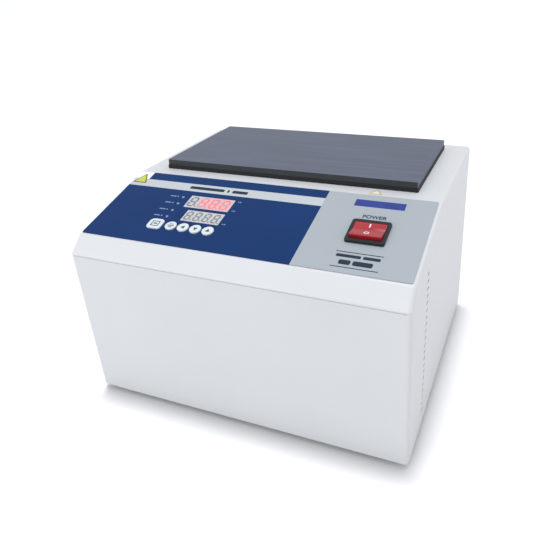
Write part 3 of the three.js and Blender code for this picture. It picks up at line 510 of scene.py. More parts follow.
WHITE_INK = surface("white_ink", (0.75, 0.72, 0.70), 0.5, tint=0.03, tint_scale=200)
DISPLAY_FACE = surface("display_face", (0.44, 0.45, 0.47), 0.35, tint=0.03, tint_scale=200, bump=0.1,
                       bump_scale=3000, bump_depth=0.01)
# Pinkish field behind the lit digits: painted glow, a flat colour with no light of its own.
DISPLAY_PAINTED_GLOW = surface("display_painted_glow", (0.56, 0.37, 0.39), 0.35, tint=0.03, tint_scale=200)
SEGMENT_DARK = surface("segment_off", (0.17, 0.17, 0.19), 0.3, tint=0.05, tint_scale=300)
# Unlit bars inside lit digits, tinted pink: painted glow spilling from the lit bars.
SEGMENT_GLOW_WASHED = surface("segment_glow_washed", (0.46, 0.27, 0.29), 0.35, tint=0.05, tint_scale=300)
SEGMENT_LIT = surface("segment_lit", (0.68, 0.11, 0.14), 0.3, tint=0.05, tint_scale=300,
                      Emission_Color=(1.0, 0.12, 0.14, 1), Emission_Strength=0.4)
LAMP_LENS = surface("lamp_lens", (0.16, 0.24, 0.36), 0.3, tint=0.05, tint_scale=300,
                    Coat_Weight=0.15, Specular_IOR_Level=0.3)
YELLOW_LABEL = surface("yellow_label", (0.43, 0.49, 0.035), 0.4, tint=0.06, tint_scale=150, bump=0.1,
                       bump_scale=2500, bump_depth=0.01)
LABEL_RIM = surface("label_rim", (0.06, 0.07, 0.03), 0.45, tint=0.1, tint_scale=150)
OCHRE_RIM = surface("ochre_rim", (0.55, 0.44, 0.08), 0.45, tint=0.08, tint_scale=150)
ALUMINIUM = surface("machined_aluminium", (0.72, 0.73, 0.75), 0.28, metallic=1.0, tint=0.04, tint_scale=30,
                    bump=0.25, bump_scale=260, bump_depth=0.02, stretch=(1, 9, 1), rough_spread=0.06)
STEEL = surface("bright_steel", (0.62, 0.62, 0.64), 0.25, metallic=1.0, tint=0.06, tint_scale=200,
                bump=0.2, bump_scale=900, bump_depth=0.01, rough_spread=0.05)
ZINC = surface("zinc_sheet", (0.58, 0.59, 0.61), 0.4, metallic=1.0, tint=0.12, tint_scale=60,
               bump=0.15, bump_scale=500, bump_depth=0.01, rough_spread=0.08)
BRASS = surface("brass_contact", (0.62, 0.47, 0.22), 0.25, metallic=1.0, tint=0.06, tint_scale=200)
BOARD = surface("circuit_board", (0.02, 0.12, 0.05), 0.35, tint=0.2, tint_scale=350, bump=0.3,
                bump_scale=600, bump_depth=0.03)
MICA = surface("mica_film", (0.26, 0.14, 0.06), 0.45, tint=0.25, tint_scale=120, bump=0.2, bump_scale=500)
FIBRE = surface("mineral_fibre", (0.58, 0.54, 0.44), 0.95, tint=0.12, tint_scale=300, bump=0.8,
                bump_scale=500, bump_depth=0.4)
GLASS = surface("fuse_glass", (0.85, 0.88, 0.9), 0.08, tint=0.01, tint_scale=200, Transmission_Weight=0.9)
WHITE_SLEEVE = surface("white_sleeving", (0.66, 0.66, 0.62), 0.5, tint=0.05, tint_scale=200)
GREEN_SLEEVE = surface("earth_sleeving", (0.08, 0.3, 0.06), 0.5, tint=0.1, tint_scale=200)

SLOT_MATERIAL = {
    "body_paint": PAINT,
    "bare_steel": ZINC,
    "bright_steel": STEEL,
    "black_plastic": BLACK_PLASTIC,
    "black_rubber": RUBBER,
    "block_aluminium": ALUMINIUM,
    "mica_film": MICA,
    "insulation": FIBRE,
    "circuit_board": BOARD,
    "fuse_glass": GLASS,
    "brass_contact": BRASS,
    "white_sleeving": WHITE_SLEEVE,
    "earth_sleeving": GREEN_SLEEVE,
    "display_face": DISPLAY_FACE,
    "key_cap": KEY_PLASTIC,
    "indicator_lens": LAMP_LENS,
    "overlay_film": FILM_BLUE,
    "red_rocker": RED_PLASTIC,
    "label_yellow": YELLOW_LABEL,
    "lid_grey": LID_PAINT,
}


def paint_frame():
    """Every CAD node gets the procedural material of its slot."""
    for entry in frame["record"]["subparts"]:
        obj = frame["nodes"][entry["node"]]
        obj.data.materials.clear()
        obj.data.materials.append(SLOT_MATERIAL[entry["material_slot"]])


# ---- Camera, light and floor ----

def camera():
    """The camera, turned by azimuth, elevation and roll."""
    data = bpy.data.cameras.new("camera")
    data.lens = CAMERA_LENS
    data.sensor_width = 36
    data.shift_y = CAMERA_SHIFT
    obj = bpy.data.objects.new("camera", data)
    az, el = CAMERA_AZIMUTH, CAMERA_ELEVATION
    back = Vector((math.sin(az) * math.cos(el), -math.cos(az) * math.cos(el), math.sin(el)))
    right = Vector((math.cos(az), math.sin(az), 0))
    up = back.cross(right)
    across = math.cos(CAMERA_ROLL) * right + math.sin(CAMERA_ROLL) * up
    upward = back.cross(across)
    place = Matrix((across, upward, back)).transposed().to_4x4()
    place.translation = CAMERA_PLACE
    obj.matrix_world = place
    bpy.context.scene.collection.objects.link(obj)
    bpy.context.scene.camera = obj


def lamp(name, place, aim, size, power, color):
    """A soft area light."""
    data = bpy.data.lights.new(name, "AREA")
    data.color = color
    data.shape = "DISK"
    data.size = size
    data.energy = power
    obj = bpy.data.objects.new(name, data)
    obj.location = place
    obj.rotation_mode = "QUATERNION"
    obj.rotation_quaternion = (Vector(aim) - Vector(place)).to_track_quat("-Z", "Y")
    bpy.context.scene.collection.objects.link(obj)


def sunlight(direction, strength, spread):
    """A distant overhead light, which leaves a tight shadow."""
    data = bpy.data.lights.new("overhead", "SUN")
    data.energy = strength
    data.angle = math.radians(spread)
    obj = bpy.data.objects.new("overhead", data)
    obj.rotation_mode = "QUATERNION"
    obj.rotation_quaternion = Vector(direction).to_track_quat("-Z", "Y")
    bpy.context.scene.collection.objects.link(obj)


def studio():
    """A pale floor, an even pale surround and soft lights."""
    side, depth = 40, 0.02
    floor = slab("floor", rectangle(side, side), -depth, 0)
    floor.data.materials.append(surface("floor", (0.82, 0.82, 0.82), 0.9, tint=0.004, tint_scale=2))
    world = bpy.data.worlds.new("surround")
    world.use_nodes = True
    world.node_tree.nodes["Background"].inputs["Color"].default_value = (0.72, 0.74, 0.77, 1)
    world.node_tree.nodes["Background"].inputs["Strength"].default_value = 1.0
    bpy.context.scene.world = world
    lamp("key", (-0.8, -1.7, 0.55), aim=(0, 0, 0.1), size=1.2, power=12, color=(1.0, 1.0, 1.0))
    lamp("fill", (1.7, -0.5, 0.5), aim=(0, 0, 0.1), size=1.0, power=3, color=(1.0, 0.82, 0.90))
    lamp("back", (1.0, 1.3, 1.4), aim=(0, 0, 0.15), size=1.0, power=5, color=(1.0, 1.0, 1.0))
    sunlight((0.05, -0.03, -1), strength=1.6, spread=8)
    bpy.context.scene.view_settings.view_transform = "Standard"


# ---- Casing ----

def moved_inward(corners, insets):
    """The corners of an outline whose edges, each named by its first corner, have moved inward."""
    moved = []
    for i, corner in enumerate(corners):
        last, following = corners[i - 1], corners[(i + 1) % len(corners)]
        first = (corner - last).normalized()
        second = (following - corner).normalized()
        rows = Matrix(((-first.y, first.x), (-second.y, second.x)))
        moved.append(corner + rows.inverted() @ Vector((insets[i - 1], insets[i])))
    return moved


def cover_outline(inset):
    """The cover's side outline in (y, z), moved inward except at the open bottom and rear."""
    low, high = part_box("cover")
    crease = Vector((-high.y, low.z + CREASE_HEIGHT))
    corners = [
        crease + Vector((UNDERCUT, -CREASE_HEIGHT)),
        Vector((high.y, low.z)),
        Vector((high.y, high.z)),
        Vector((PANEL.translation.y, high.z)),
        crease + Vector((BAND_DEPTH, BAND_RISE)),
        crease,
    ]
    moved = moved_inward(corners, [0, 0, inset, inset, inset, inset])
    radii = [0, 0, 0, BEND_RADIUS, BEND_RADIUS, CREASE_RADIUS]
    return rounded([(*point, max(radius - inset, 0.3 * MM) if radius else 0)
                    for point, radius in zip(moved, radii)])


def shell_loops(bm, depth, radius):
    """One skin of the cover: chains from the deck's rear to the bottom front, across the width."""
    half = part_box("cover")[1].x - depth
    turns = [math.pi / 2 * i / EDGE_STEPS for i in range(EDGE_STEPS + 1)]
    loops, heels = [], []
    for side, order in ((-1, reversed(turns)), (1, turns)):
        for turn in order:
            outline = cover_outline(depth + radius * (1 - math.cos(turn)))
            x = side * (half - radius + radius * math.sin(turn))
            loops.append([bm.verts.new((x, *point)) for point in outline[2:] + outline[:1]])
        heels.append(bm.verts.new((side * half, *cover_outline(depth)[1])))
    return loops, heels


def cover_skin(bm):
    """The cover's sheet, open at the bottom and rear, with rounded side edges."""
    outer, outer_heels = shell_loops(bm, 0, EDGE_RADIUS)
    inner, inner_heels = shell_loops(bm, SHEET, EDGE_RADIUS - SHEET)
    for loops, heels in ((outer, outer_heels), (inner, inner_heels)):
        for a, b in zip(loops, loops[1:]):
            for i in range(len(a) - 1):
                bm.faces.new((a[i], b[i], b[i + 1], a[i + 1]))
        bm.faces.new(loops[0] + [heels[0]])
        bm.faces.new(loops[-1] + [heels[1]])
    for a, b, c, d in zip(outer, outer[1:], inner, inner[1:]):
        bm.faces.new((a[0], b[0], d[0], c[0]))
        bm.faces.new((a[-1], b[-1], d[-1], c[-1]))
    for end, heel in ((0, 0), (-1, 1)):
        bm.faces.new((outer[end][0], outer_heels[heel], inner_heels[heel], inner[end][0]))
        bm.faces.new((outer_heels[heel], outer[end][-1], inner[end][-1], inner_heels[heel]))


def crease_groove(bm):
    """The fine line just under the crease."""
    low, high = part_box("cover")
    y = -high.y + GROOVE_DROP * UNDERCUT / CREASE_HEIGHT
    z = low.z + CREASE_HEIGHT - GROOVE_DROP
    half = high.x - EDGE_RADIUS
    prism(bm, rectangle(2 * GROOVE_DEPTH, GROOVE_WIDTH, 0, y, z), -half, half, sideways())


def vent_cutters(bm):
    """Both columns of side vents."""
    low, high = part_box("cover")
    y = -high.y + UNDERCUT + VENT_SETBACK
    for x in (low.x, high.x):
        for i in range(VENT_COUNT):
            z = low.z + VENT_LOWEST + i * VENT_PITCH
            prism(bm, slot_outline(VENT_LENGTH, VENT_WIDTH), -4 * MM, 4 * MM, sideways(x, y, z))


def panel_cutters(bm, clearance, low, high):
    """What the panel's fittings pass through, between two heights."""
    outlines = [footprint(panel_box(node), 0.8 * MM, clearance) for node in ("display_actual", "display_set")]
    for node in ROUND_KEYS:
        outlines.append(circle(ROUND_KEY_RADIUS + clearance, *middle(panel_box(node))))
    outlines.append(rectangle(SET_KEY_WIDTH + 2 * clearance, SET_KEY_HEIGHT + 2 * clearance, SET_KEY_CORNER,
                              *middle(panel_box("key_set"))))
    for node in INDICATORS:
        outlines.append(circle(LAMP_RADIUS + clearance, *middle(panel_box(node))))
    a, b = panel_box("rocker_housing")
    outlines.append(rectangle(b.x - a.x - SWITCH_BODY_INSET[0] + 2 * clearance,
                              b.y - a.y - SWITCH_BODY_INSET[1] + 2 * clearance, 0, *middle((a, b))))
    for outline in outlines:
        prism(bm, outline, low, high, PANEL)


def cover():
    """The painted cover, with its vents, the panel's cut-outs and the opening over the block."""
    obj = solid("cover_shell", cover_skin)
    carve(obj, crease_groove)
    carve(obj, vent_cutters)
    carve(obj, lambda bm: panel_cutters(bm, 0.35 * MM, -4 * MM, 2 * MM))
    opening = footprint(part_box("opening_trim"), 1 * MM, -TRIM_OVERLAP)
    punch(obj, opening, cad_high.z - 20 * MM, cad_high.z)
    place_piece(obj, "body_paint", "cover")


def rear_panel():
    """The rear wall, with vent slots, the inlet's cut-out and screw holes."""
    low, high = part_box("rear_panel")
    outline = footprint((low, high), EDGE_RADIUS, axes="xz")
    cutout = rectangle(*INLET_CUTOUT, 1 * MM, *middle(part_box("inlet_housing"), "xz"))
    obj = slab("rear_wall", outline, -high.y, -low.y, upright(), ease=0.2 * MM, ease_low=0.2 * MM)
    through = (-high.y - 2 * MM, -low.y + 2 * MM)

    def cuts(bm):
        slot = [Vector((-p.y, p.x)) for p in slot_outline(REAR_VENT_LENGTH, REAR_VENT_WIDTH)]
        for side in (-1, 1):
            for i in range(REAR_VENT_COUNT):
                x = side * REAR_VENT_BANK + (i - (REAR_VENT_COUNT - 1) / 2) * REAR_VENT_PITCH
                prism(bm, [p + Vector((x, REAR_VENT_HEIGHT)) for p in slot], *through, upright())
        prism(bm, cutout, *through, upright())
        for node in REAR_SCREWS + INLET_SCREWS:
            hole = circle(SCREW_HOLE, *middle(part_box(node), "xz"), FINE_STEPS)
            prism(bm, hole, *through, upright())

    carve(obj, cuts)
    place_piece(obj, "body_paint", "rear_panel")


def pan_head(bm, head, height, shank, length, place):
    """A domed screw head on the plane z = 0, with its shank below."""
    dome = height * 0.9
    profile = [(0, -length), (shank, -length), (shank, 0), (head, 0)]
    profile += arc_profile(head - dome, height - dome, dome, 0, 70, 6)
    profile.append((0, height))
    spin(bm, profile, place, 32)


def cross_recess(bm, size, height, place):
    """A cross-shaped driver recess in the top of a head."""
    for turn in (0, math.pi / 2):
        prism(bm, rectangle(size, size * 0.22, 0.05 * MM), height * 0.35, height * 2,
              place @ Matrix.Rotation(turn, 4, "Z"))


def screw(node, head, height, shank, length, place):
    """One steel screw with a driver recess."""
    obj = solid(node + "_steel", lambda bm: pan_head(bm, head, height, shank, length, place))
    carve(obj, lambda bm: cross_recess(bm, head * 1.25, height, place))
    place_piece(obj, "bright_steel", node)


def screws():
    """The rear wall's and inlet's screws, driven forward, and the feet's screws, driven up."""
    turned_over = Matrix.Rotation(math.pi, 4, "X")
    for node in REAR_SCREWS + INLET_SCREWS:
        low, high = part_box(node)
        x, z = middle((low, high), "xz")
        seat = upright(x, low.y + SCREW_LENGTH, z) @ turned_over @ Matrix.Rotation(SCREW_TURN, 4, "Z")
        screw(node, (high.x - low.x) / 2, high.y - low.y - SCREW_LENGTH, SCREW_SHANK, SCREW_LENGTH, seat)
    for spot in FOOT_PLACES:
        node = "foot_screw_" + spot
        low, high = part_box(node)
        seat = Matrix.Translation((*middle((low, high)), high.z - FOOT_SCREW_LENGTH)) @ turned_over
        screw(node, (high.x - low.x) / 2, high.z - low.z - FOOT_SCREW_LENGTH, FOOT_SCREW_SHANK,
              FOOT_SCREW_LENGTH, seat)


def feet():
    """Rubber feet: tapered discs with a rounded lower rim and a recess for the screw."""
    for spot in FOOT_PLACES:
        node = "foot_" + spot
        low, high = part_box(node)
        place = Matrix.Translation((*middle((low, high)), low.z))
        radius, height = (high.x - low.x) / 2, high.z - low.z
        flat = radius - FOOT_RIM - 1 * MM
        profile = [(0, 0), (flat, 0)]
        profile += arc_profile(flat, FOOT_RIM, FOOT_RIM, -80, 0)
        profile += [(radius - 0.3 * MM, height - 0.4 * MM), (radius - 0.6 * MM, height), (0, height)]
        obj = solid(node + "_rubber", lambda bm: spin(bm, profile, place))

        def recess(bm):
            prism(bm, circle(FOOT_RECESS_RADIUS), -1 * MM, FOOT_RECESS_DEPTH, place)
            prism(bm, circle(FOOT_SCREW_HOLE, steps=FINE_STEPS), 0, 8 * MM, place)

        carve(obj, recess)
        place_piece(obj, "black_rubber", node)


# ---- Lid, trim and block ----

def lid():
    """The flat lid: a coated plate over a black gasket, with painted shade on its front and rear faces."""
    low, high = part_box("lid_plate")
    outline = footprint((low, high), LID_CORNER)
    plate = slab("lid_plate_coated", outline, low.z + 0.05 * MM, high.z, ease=0.45 * MM, ease_low=0.12 * MM)
    place_piece(plate, "lid_grey", "lid_plate", body="lid")
    plate.data.materials.append(LID_PAINTED_SHADE)
    # Faces looking to the front or rear take the darker copy: painted shade.
    for face in plate.data.polygons:
        if abs(face.normal.y) > 0.8:
            face.material_index = 1


def gasket():
    """The lid's black gasket, with a way through for the trim."""
    low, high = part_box("lid_gasket")
    outline = footprint((low, high), GASKET_CORNER)
    obj = slab("lid_gasket_rubber", outline, low.z - 0.2 * MM, high.z + 0.3 * MM, ease=0.12 * MM,
               ease_low=0.4 * MM)
    punch(obj, footprint(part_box("opening_trim"), 2 * MM, GASKET_GAP), low.z - 2 * MM, high.z + 2 * MM)
    place_piece(obj, "black_rubber", "lid_gasket", body="lid")


def trim():
    """The frame that lines the opening over the block: a flange with a skirt below."""
    low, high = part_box("opening_trim")
    flange_base = high.z - TRIM_FLANGE
    flange = footprint((low, high), 2 * MM)
    skirt = footprint((low, high), 1.5 * MM, -TRIM_INSET)
    way = footprint((low, high), 2 * MM, -TRIM_INSET - TRIM_WALL)
    obj = slab("opening_trim_frame", flange, flange_base, high.z, ease=0.6 * MM)
    punch(obj, skirt, low.z, flange_base + 0.5 * MM, operation="UNION")
    punch(obj, way, low.z - 5 * MM, high.z + 5 * MM)
    place_piece(obj, "black_plastic", "opening_trim")


def heat_block():
    """The drilled aluminium block: round wells with chamfered mouths, in the openings' places."""
    low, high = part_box("heat_block")
    obj = slab("heat_block_drilled", footprint((low, high), 1 * MM), low.z, high.z, ease=0.5 * MM)
    wells = [o["box_m"] for o in frame["record"]["physics"]["openings"] if o["name"].startswith("well_")]

    def drill(bm):
        for well in wells:
            a, b = (Vector(corner) for corner in well)
            floor = a.z - 1 * MM
            profile = [(0, floor - DRILL_POINT), (WELL_RADIUS, floor), (WELL_RADIUS, high.z - WELL_MOUTH),
                       (WELL_RADIUS + 2 * WELL_MOUTH, high.z + WELL_MOUTH), (0, high.z + WELL_MOUTH)]
            spin(bm, profile, Matrix.Translation((*middle((a, b)), 0)))

    carve(obj, drill)
    place_piece(obj, "block_aluminium", "heat_block")


# ---- Control panel ----

def film():
    """The printed film, split into its printed areas."""
    outline = footprint(panel_box("control_overlay"), 1.5 * MM)
    obj = slab("control_film", outline, FILM_BASE, FILM_FACE, PANEL, ease=0.12 * MM, steps=2)
    carve(obj, lambda bm: panel_cutters(bm, 0.3 * MM, -2 * MM, 3 * MM))
    bm = bmesh.new()
    bm.from_mesh(obj.data)

    def split(point, direction):
        everything = list(bm.verts) + list(bm.edges) + list(bm.faces)
        bmesh.ops.bisect_plane(bm, geom=everything, dist=1e-7, plane_co=PANEL @ Vector(point),
                               plane_no=PANEL.to_3x3() @ Vector(direction))

    split((PRINT_EDGE, 0, 0), (1, 0, 0))
    split((0, -STRIPE_TOP, 0), (0, 1, 0))
    split((0, -STRIPE_BOTTOM, 0), (0, 1, 0))
    split((-LABEL_CORNER, 0, 0), (1, 0, 0))
    bm.to_mesh(obj.data)
    bm.free()
    place_piece(obj, "overlay_film", "control_overlay")
    for material in (FILM_GREY, FILM_STRIPE, FILM_WHITE):
        obj.data.materials.append(material)
    back = PANEL.inverted()
    for face in obj.data.polygons:
        face.material_index = film_area(back @ face.center)


def film_area(spot):
    """Which of the film's materials shows at a place on the panel: blue, grey, stripe or white."""
    if spot.x > PRINT_EDGE:
        return 1
    if spot.y < -STRIPE_BOTTOM:
        return 0
    if spot.y < -STRIPE_TOP:
        return 2
    return 3 if spot.x < -LABEL_CORNER else 0


def printed(name, outlines, material, base=FILM_FACE, lift=PRINT_LIFT, body="chassis", slot="overlay_film",
            place=PANEL):
    """Thin printed marks on the film, a display, a key or a sticker."""
    obj = solid(name, lambda bm: [prism(bm, outline, base, base + lift, place) for outline in outlines])
    place_piece(obj, slot, material=material, body=body)


def dashes(x, y, height, *widths, gap=1.6 * MM):
    """A row of plain bars with round ends, about a centre, in place of lettering."""
    start = x - (sum(widths) + gap * (len(widths) - 1)) / 2
    bars = []
    for width in widths:
        bars.append(rectangle(width, height, height * 0.3, start + width / 2, y))
        start += width + gap
    return bars


def lettering(name, words, size, x, y, material):
    """A generic word as a thin printed mesh, centred at (x, y) on the panel."""
    data = bpy.data.curves.new(name, "FONT")
    data.body = words
    data.size = size
    data.align_x = "CENTER"
    data.align_y = "CENTER"
    data.extrude = PRINT_LIFT
    data.offset = POWER_WEIGHT
    source = bpy.data.objects.new("lettering", data)
    bpy.context.scene.collection.objects.link(source)
    depsgraph = bpy.context.evaluated_depsgraph_get()
    mesh = bpy.data.meshes.new_from_object(source.evaluated_get(depsgraph))
    bpy.data.objects.remove(source)
    bm = bmesh.new()
    bm.from_mesh(mesh)
    bpy.data.meshes.remove(mesh)
    bmesh.ops.remove_doubles(bm, verts=bm.verts, dist=0.002 * MM)
    bmesh.ops.transform(bm, matrix=PANEL @ Matrix.Translation((x, y, FILM_FACE)), verts=bm.verts)
    place_piece(to_object(name, bm), "overlay_film", material=material)


def captions():
    """Plain marks where the film carries print."""
    stripe_middle = -(STRIPE_TOP + STRIPE_BOTTOM) / 2
    printed("stripe_caption", dashes(STRIPE_CAPTION_X, stripe_middle, 4 * MM, 35 * MM, 2 * MM, 15 * MM,
                                     gap=3 * MM), DARK_INK)
    printed("plain_badge", [rectangle(*BADGE_SIZE, 0.3 * MM, *BADGE_PLACE)], BLUE_INK)
    lettering("power_caption", "POWER", POWER_SIZE, *POWER_PLACE, DARK_INK)
    rules = [rectangle(36 * MM, 0.8 * MM, 0, FOOTER_X, y) for y in FOOTER_RULES]
    printed("foot_rules", rules, DARK_INK)
    lines = dashes(FOOTER_X, -79.2 * MM, 3.2 * MM, 19 * MM, 13 * MM)
    lines += dashes(FOOTER_X, -86.2 * MM, 5 * MM, 9 * MM, 15 * MM)
    printed("foot_caption", lines, DARK_INK)
    marks = []
    for node in INDICATORS:
        low, high = panel_box(node)
        marks += dashes(low.x - LAMP_MARK_GAP, (low.y + high.y) / 2, 1.3 * MM, 6 * MM, 1.6 * MM, gap=1 * MM)
    for y in UNIT_MARK_ROWS:
        marks += dashes(UNIT_MARK_X, y, 1.4 * MM, 1 * MM, 1.6 * MM, gap=0.6 * MM)
    printed("display_marks", marks, PALE_INK)


def segment_shapes(x, y, width, height, stroke):
    """The seven bars of one digit, as {letter: outline}."""

    def bar(ax, ay, bx, by):
        direction = (Vector((bx, by)) - Vector((ax, ay))).normalized()
        normal = Vector((-direction.y, direction.x)) * stroke / 2
        a = Vector((ax, ay)) + direction * stroke * 0.12
        b = Vector((bx, by)) - direction * stroke * 0.12
        tip = direction * stroke / 2
        points = [a, a + tip - normal, b - tip - normal, b, b - tip + normal, a + tip + normal]
        return [Vector((x + p.x + DIGIT_SLANT * p.y, y + p.y)) for p in points]

    w, h = (width - stroke) / 2, (height - stroke) / 2
    return {
        "a": bar(-w, h, w, h), "b": bar(w, 0, w, h), "c": bar(w, -h, w, 0), "d": bar(-w, -h, w, -h),
        "e": bar(-w, -h, -w, 0), "f": bar(-w, 0, -w, h), "g": bar(-w, 0, w, 0),
    }


def display(node, reading, digit_width, digit_height, stroke):
    """A four-digit display: a pale face with raised bars, lit where the reading says."""
    low, high = panel_box(node)
    middle_x, middle_y = middle((low, high))
    face = slab(node + "_face", footprint((low, high), 0.5 * MM), low.z, high.z, PANEL, ease=0.15 * MM)
    place_piece(face, "display_face", node)
    pitch = (high.x - low.x) / DIGIT_PITCHES
    # Bars that stay off in a lit digit get the pinkish copy: painted glow from their lit neighbours.
    lit, glow_washed, unlit = [], [], []
    for i, character in enumerate(reading):
        x = middle_x + (i - 1.5) * pitch - DIGIT_SHIFT
        bars = segment_shapes(x, middle_y, digit_width, digit_height, stroke)
        shown = SEGMENTS_OF.get(character, "")
        lit += [shape for letter, shape in bars.items() if letter in shown]
        rest = glow_washed if shown else unlit
        rest += [shape for letter, shape in bars.items() if letter not in shown]
        rest.append(circle(stroke * 0.5, x + digit_width / 2 + stroke * 0.55,
                           middle_y - digit_height / 2 + stroke / 2, 16))
    on_face = {"base": high.z, "slot": "display_face"}
    printed(node + "_bars", unlit, SEGMENT_DARK, **on_face)
    if lit:
        first = next(i for i, character in enumerate(reading) if character != " ")
        left = middle_x + (first - 2) * pitch - 0.2 * MM
        right = high.x - 0.5 * MM
        # Painted glow: a pinkish field laid behind the lit digits.
        glow = rectangle(right - left, high.y - low.y - 1 * MM, 0.4 * MM, (left + right) / 2, middle_y)
        printed(node + "_glow", [glow], DISPLAY_PAINTED_GLOW, lift=PRINT_LIFT * 0.6, **on_face)
        printed(node + "_glow_washed_bars", glow_washed, SEGMENT_GLOW_WASHED, **on_face)
        printed(node + "_lit_bars", lit, SEGMENT_LIT, **on_face)


def key_marks():
    """The outlines drawn on each key, about the key's centre."""
    arrow = [(-2.1, -1.5), (2.1, -1.5), (0, 2.2)]

    def turned(angle):
        turn = Matrix.Rotation(math.radians(angle), 2)
        return [turn @ Vector((x * MM, y * MM)) for x, y in arrow]

    def bar(width, height, x=0.0, y=0.0, corner=0.0):
        return rectangle(width * MM, height * MM, corner * MM, x * MM, y * MM)

    return {
        "key_up": [turned(0)],
        "key_down": [turned(180)],
        "key_left": [turned(90)],
        "key_shift": [bar(6.2, 0.9), bar(3.6, 0.8, 0, 1.9), bar(3.6, 0.8, 0, -1.9)],
        "key_set": [bar(7.4, 0.8, 0, 2.9), bar(7.4, 0.8, 0, -2.9), bar(0.8, 5, -3.3), bar(0.8, 5, 3.3),
                    bar(3.6, 1.4, corner=0.3)],
    }


def keys():
    """Push keys with eased rims and a dark mark each, riding on their own bodies."""
    marks = key_marks()
    for node in ("key_set",) + ROUND_KEYS:
        low, high = panel_box(node)
        place = PANEL @ Matrix.Translation((*middle((low, high)), 0))
        shape = circle(ROUND_KEY_RADIUS)
        if node == "key_set":
            shape = rectangle(SET_KEY_WIDTH, SET_KEY_HEIGHT, SET_KEY_CORNER)
        body = node + "_cap"
        cap = slab(body, shape, low.z, high.z, place, ease=0.55 * MM, steps=4)
        place_piece(cap, "key_cap", node, body=body, angle=50)
        printed(node + "_mark", marks[node], KEY_INK, base=high.z, body=body, slot="key_cap", place=place)


def indicators():
    """Small domed lamps."""
    for node in INDICATORS:
        low, high = panel_box(node)
        place = PANEL @ Matrix.Translation((*middle((low, high)), 0))
        profile = [(0, low.z), (LAMP_RADIUS, low.z), (LAMP_RADIUS, LAMP_WALL)]
        for a in (0.3, 0.6, 0.9, 1.2):
            profile.append((LAMP_RADIUS * math.cos(a), LAMP_WALL + LAMP_DOME * math.sin(a)))
        profile.append((0, LAMP_WALL + LAMP_DOME))
        obj = solid(node + "_lens", lambda bm: spin(bm, profile, place, FINE_STEPS))
        place_piece(obj, "indicator_lens", node, angle=60)


def switch_bezel(turned):
    """The black bezel and body, with the well and the holes for the rocker's pins."""
    low, high = panel_box("rocker_housing")
    place = PANEL @ Matrix.Translation((*middle((low, high)), 0))
    width, height = high.x - low.x, high.y - low.y
    base = FILM_FACE + 0.02 * MM
    walls = rectangle(width - SWITCH_BODY_INSET[0], height - SWITCH_BODY_INSET[1], 0.5 * MM)
    pin_hole = circle(PIN_HOLE, steps=FINE_STEPS)
    rim = rectangle(width, height, 1.6 * MM)
    obj = slab("switch_bezel", rim, base, high.z, place, ease=0.8 * MM, steps=4)
    punch(obj, walls, low.z, base + 0.5 * MM, place, "UNION")
    punch(obj, rectangle(*SWITCH_WELL, 1.2 * MM), -SWITCH_WELL_DEPTH, 10 * MM, place)
    punch(obj, pin_hole, -PIN_HOLE_REACH, PIN_HOLE_REACH, turned @ sideways())
    place_piece(obj, "black_plastic", "rocker_housing")


def rocker_switch():
    """The bezel, and the red rocker with its pivot pins and its marks."""
    pivot = PANEL.inverted() @ Vector(joint("rocker_tilt")["pos_m"])
    turned = PANEL @ Matrix.Translation(pivot) @ Matrix.Rotation(SWITCH_TILT, 4, "X")
    switch_bezel(turned)
    along = turned @ sideways()
    profile = rounded([(-9 * MM, -1 * MM, 0), (-2.5 * MM, -6 * MM, 1 * MM), (2.5 * MM, -6 * MM, 1 * MM),
                       (9 * MM, -1 * MM, 0), (9.6 * MM, 4.6 * MM, 0.7 * MM), (0, ROCKER_CROWN, 3 * MM),
                       (-9.6 * MM, 4.6 * MM, 0.7 * MM)], 5)
    rocker = slab("switch_rocker", profile, -ROCKER_HALF, ROCKER_HALF, along, ease=0.5 * MM,
                  ease_low=0.5 * MM)
    punch(rocker, circle(PIN_RADIUS, steps=FINE_STEPS), -PIN_REACH, PIN_REACH, along, "UNION")
    place_piece(rocker, "red_rocker", "power_rocker", body="rocker", angle=40)
    crown = turned @ Matrix.Translation((0, 0, ROCKER_CROWN))
    upper, lower = (crown @ Matrix.Rotation(side * ROCKER_LEAN, 4, "X") for side in (1, -1))
    centre, low, high = 5.4 * MM, 0.02 * MM, 0.1 * MM
    stroke = rectangle(1.1 * MM, 4.2 * MM, 0.2 * MM, 0, centre)
    on_mark = slab("switch_on_mark", stroke, low, high, upper)
    place_piece(on_mark, "red_rocker", material=WHITE_INK, body="rocker")
    off_mark = solid("switch_off_mark", lambda bm: ring(bm, 2.1 * MM, 1.35 * MM, low, high,
                                                        lower @ Matrix.Translation((0, -centre, 0))))
    place_piece(off_mark, "red_rocker", material=WHITE_INK, body="rocker")


def sticker(node, box, low, high, inset, rim_material, field_material, place=Matrix()):
    """A triangular sticker: a rim between two heights, with a plain field on it."""
    a, b = box
    x = middle(box)[0]
    rim = slab(node + "_rim", triangle(b.x - a.x, b.y - a.y, 0.8 * MM, x, a.y), low, high, place)
    place_piece(rim, "label_yellow", node, material=rim_material)
    across, upward, rise, corner = (value * MM for value in inset)
    field = triangle(b.x - a.x - across, b.y - a.y - upward, corner, x, a.y + rise)
    printed(node + "_field", [field], field_material, base=high, slot="label_yellow", place=place)


def labels():
    """Plain triangular stickers, one on the film and one on the deck."""
    base = FILM_FACE + 0.02 * MM
    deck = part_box("cover")[1].z
    sticker("panel_label", panel_box("panel_label"), base, base + 0.15 * MM, (3.2, 3, 0.95, 0.5), LABEL_RIM,
            YELLOW_LABEL, PANEL)
    sticker("deck_label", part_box("deck_label"), deck + 0.02 * MM, deck + 0.15 * MM, (4.4, 4.2, 1.35, 0.4),
            OCHRE_RIM, FILM_WHITE)


# ---- Power inlet ----

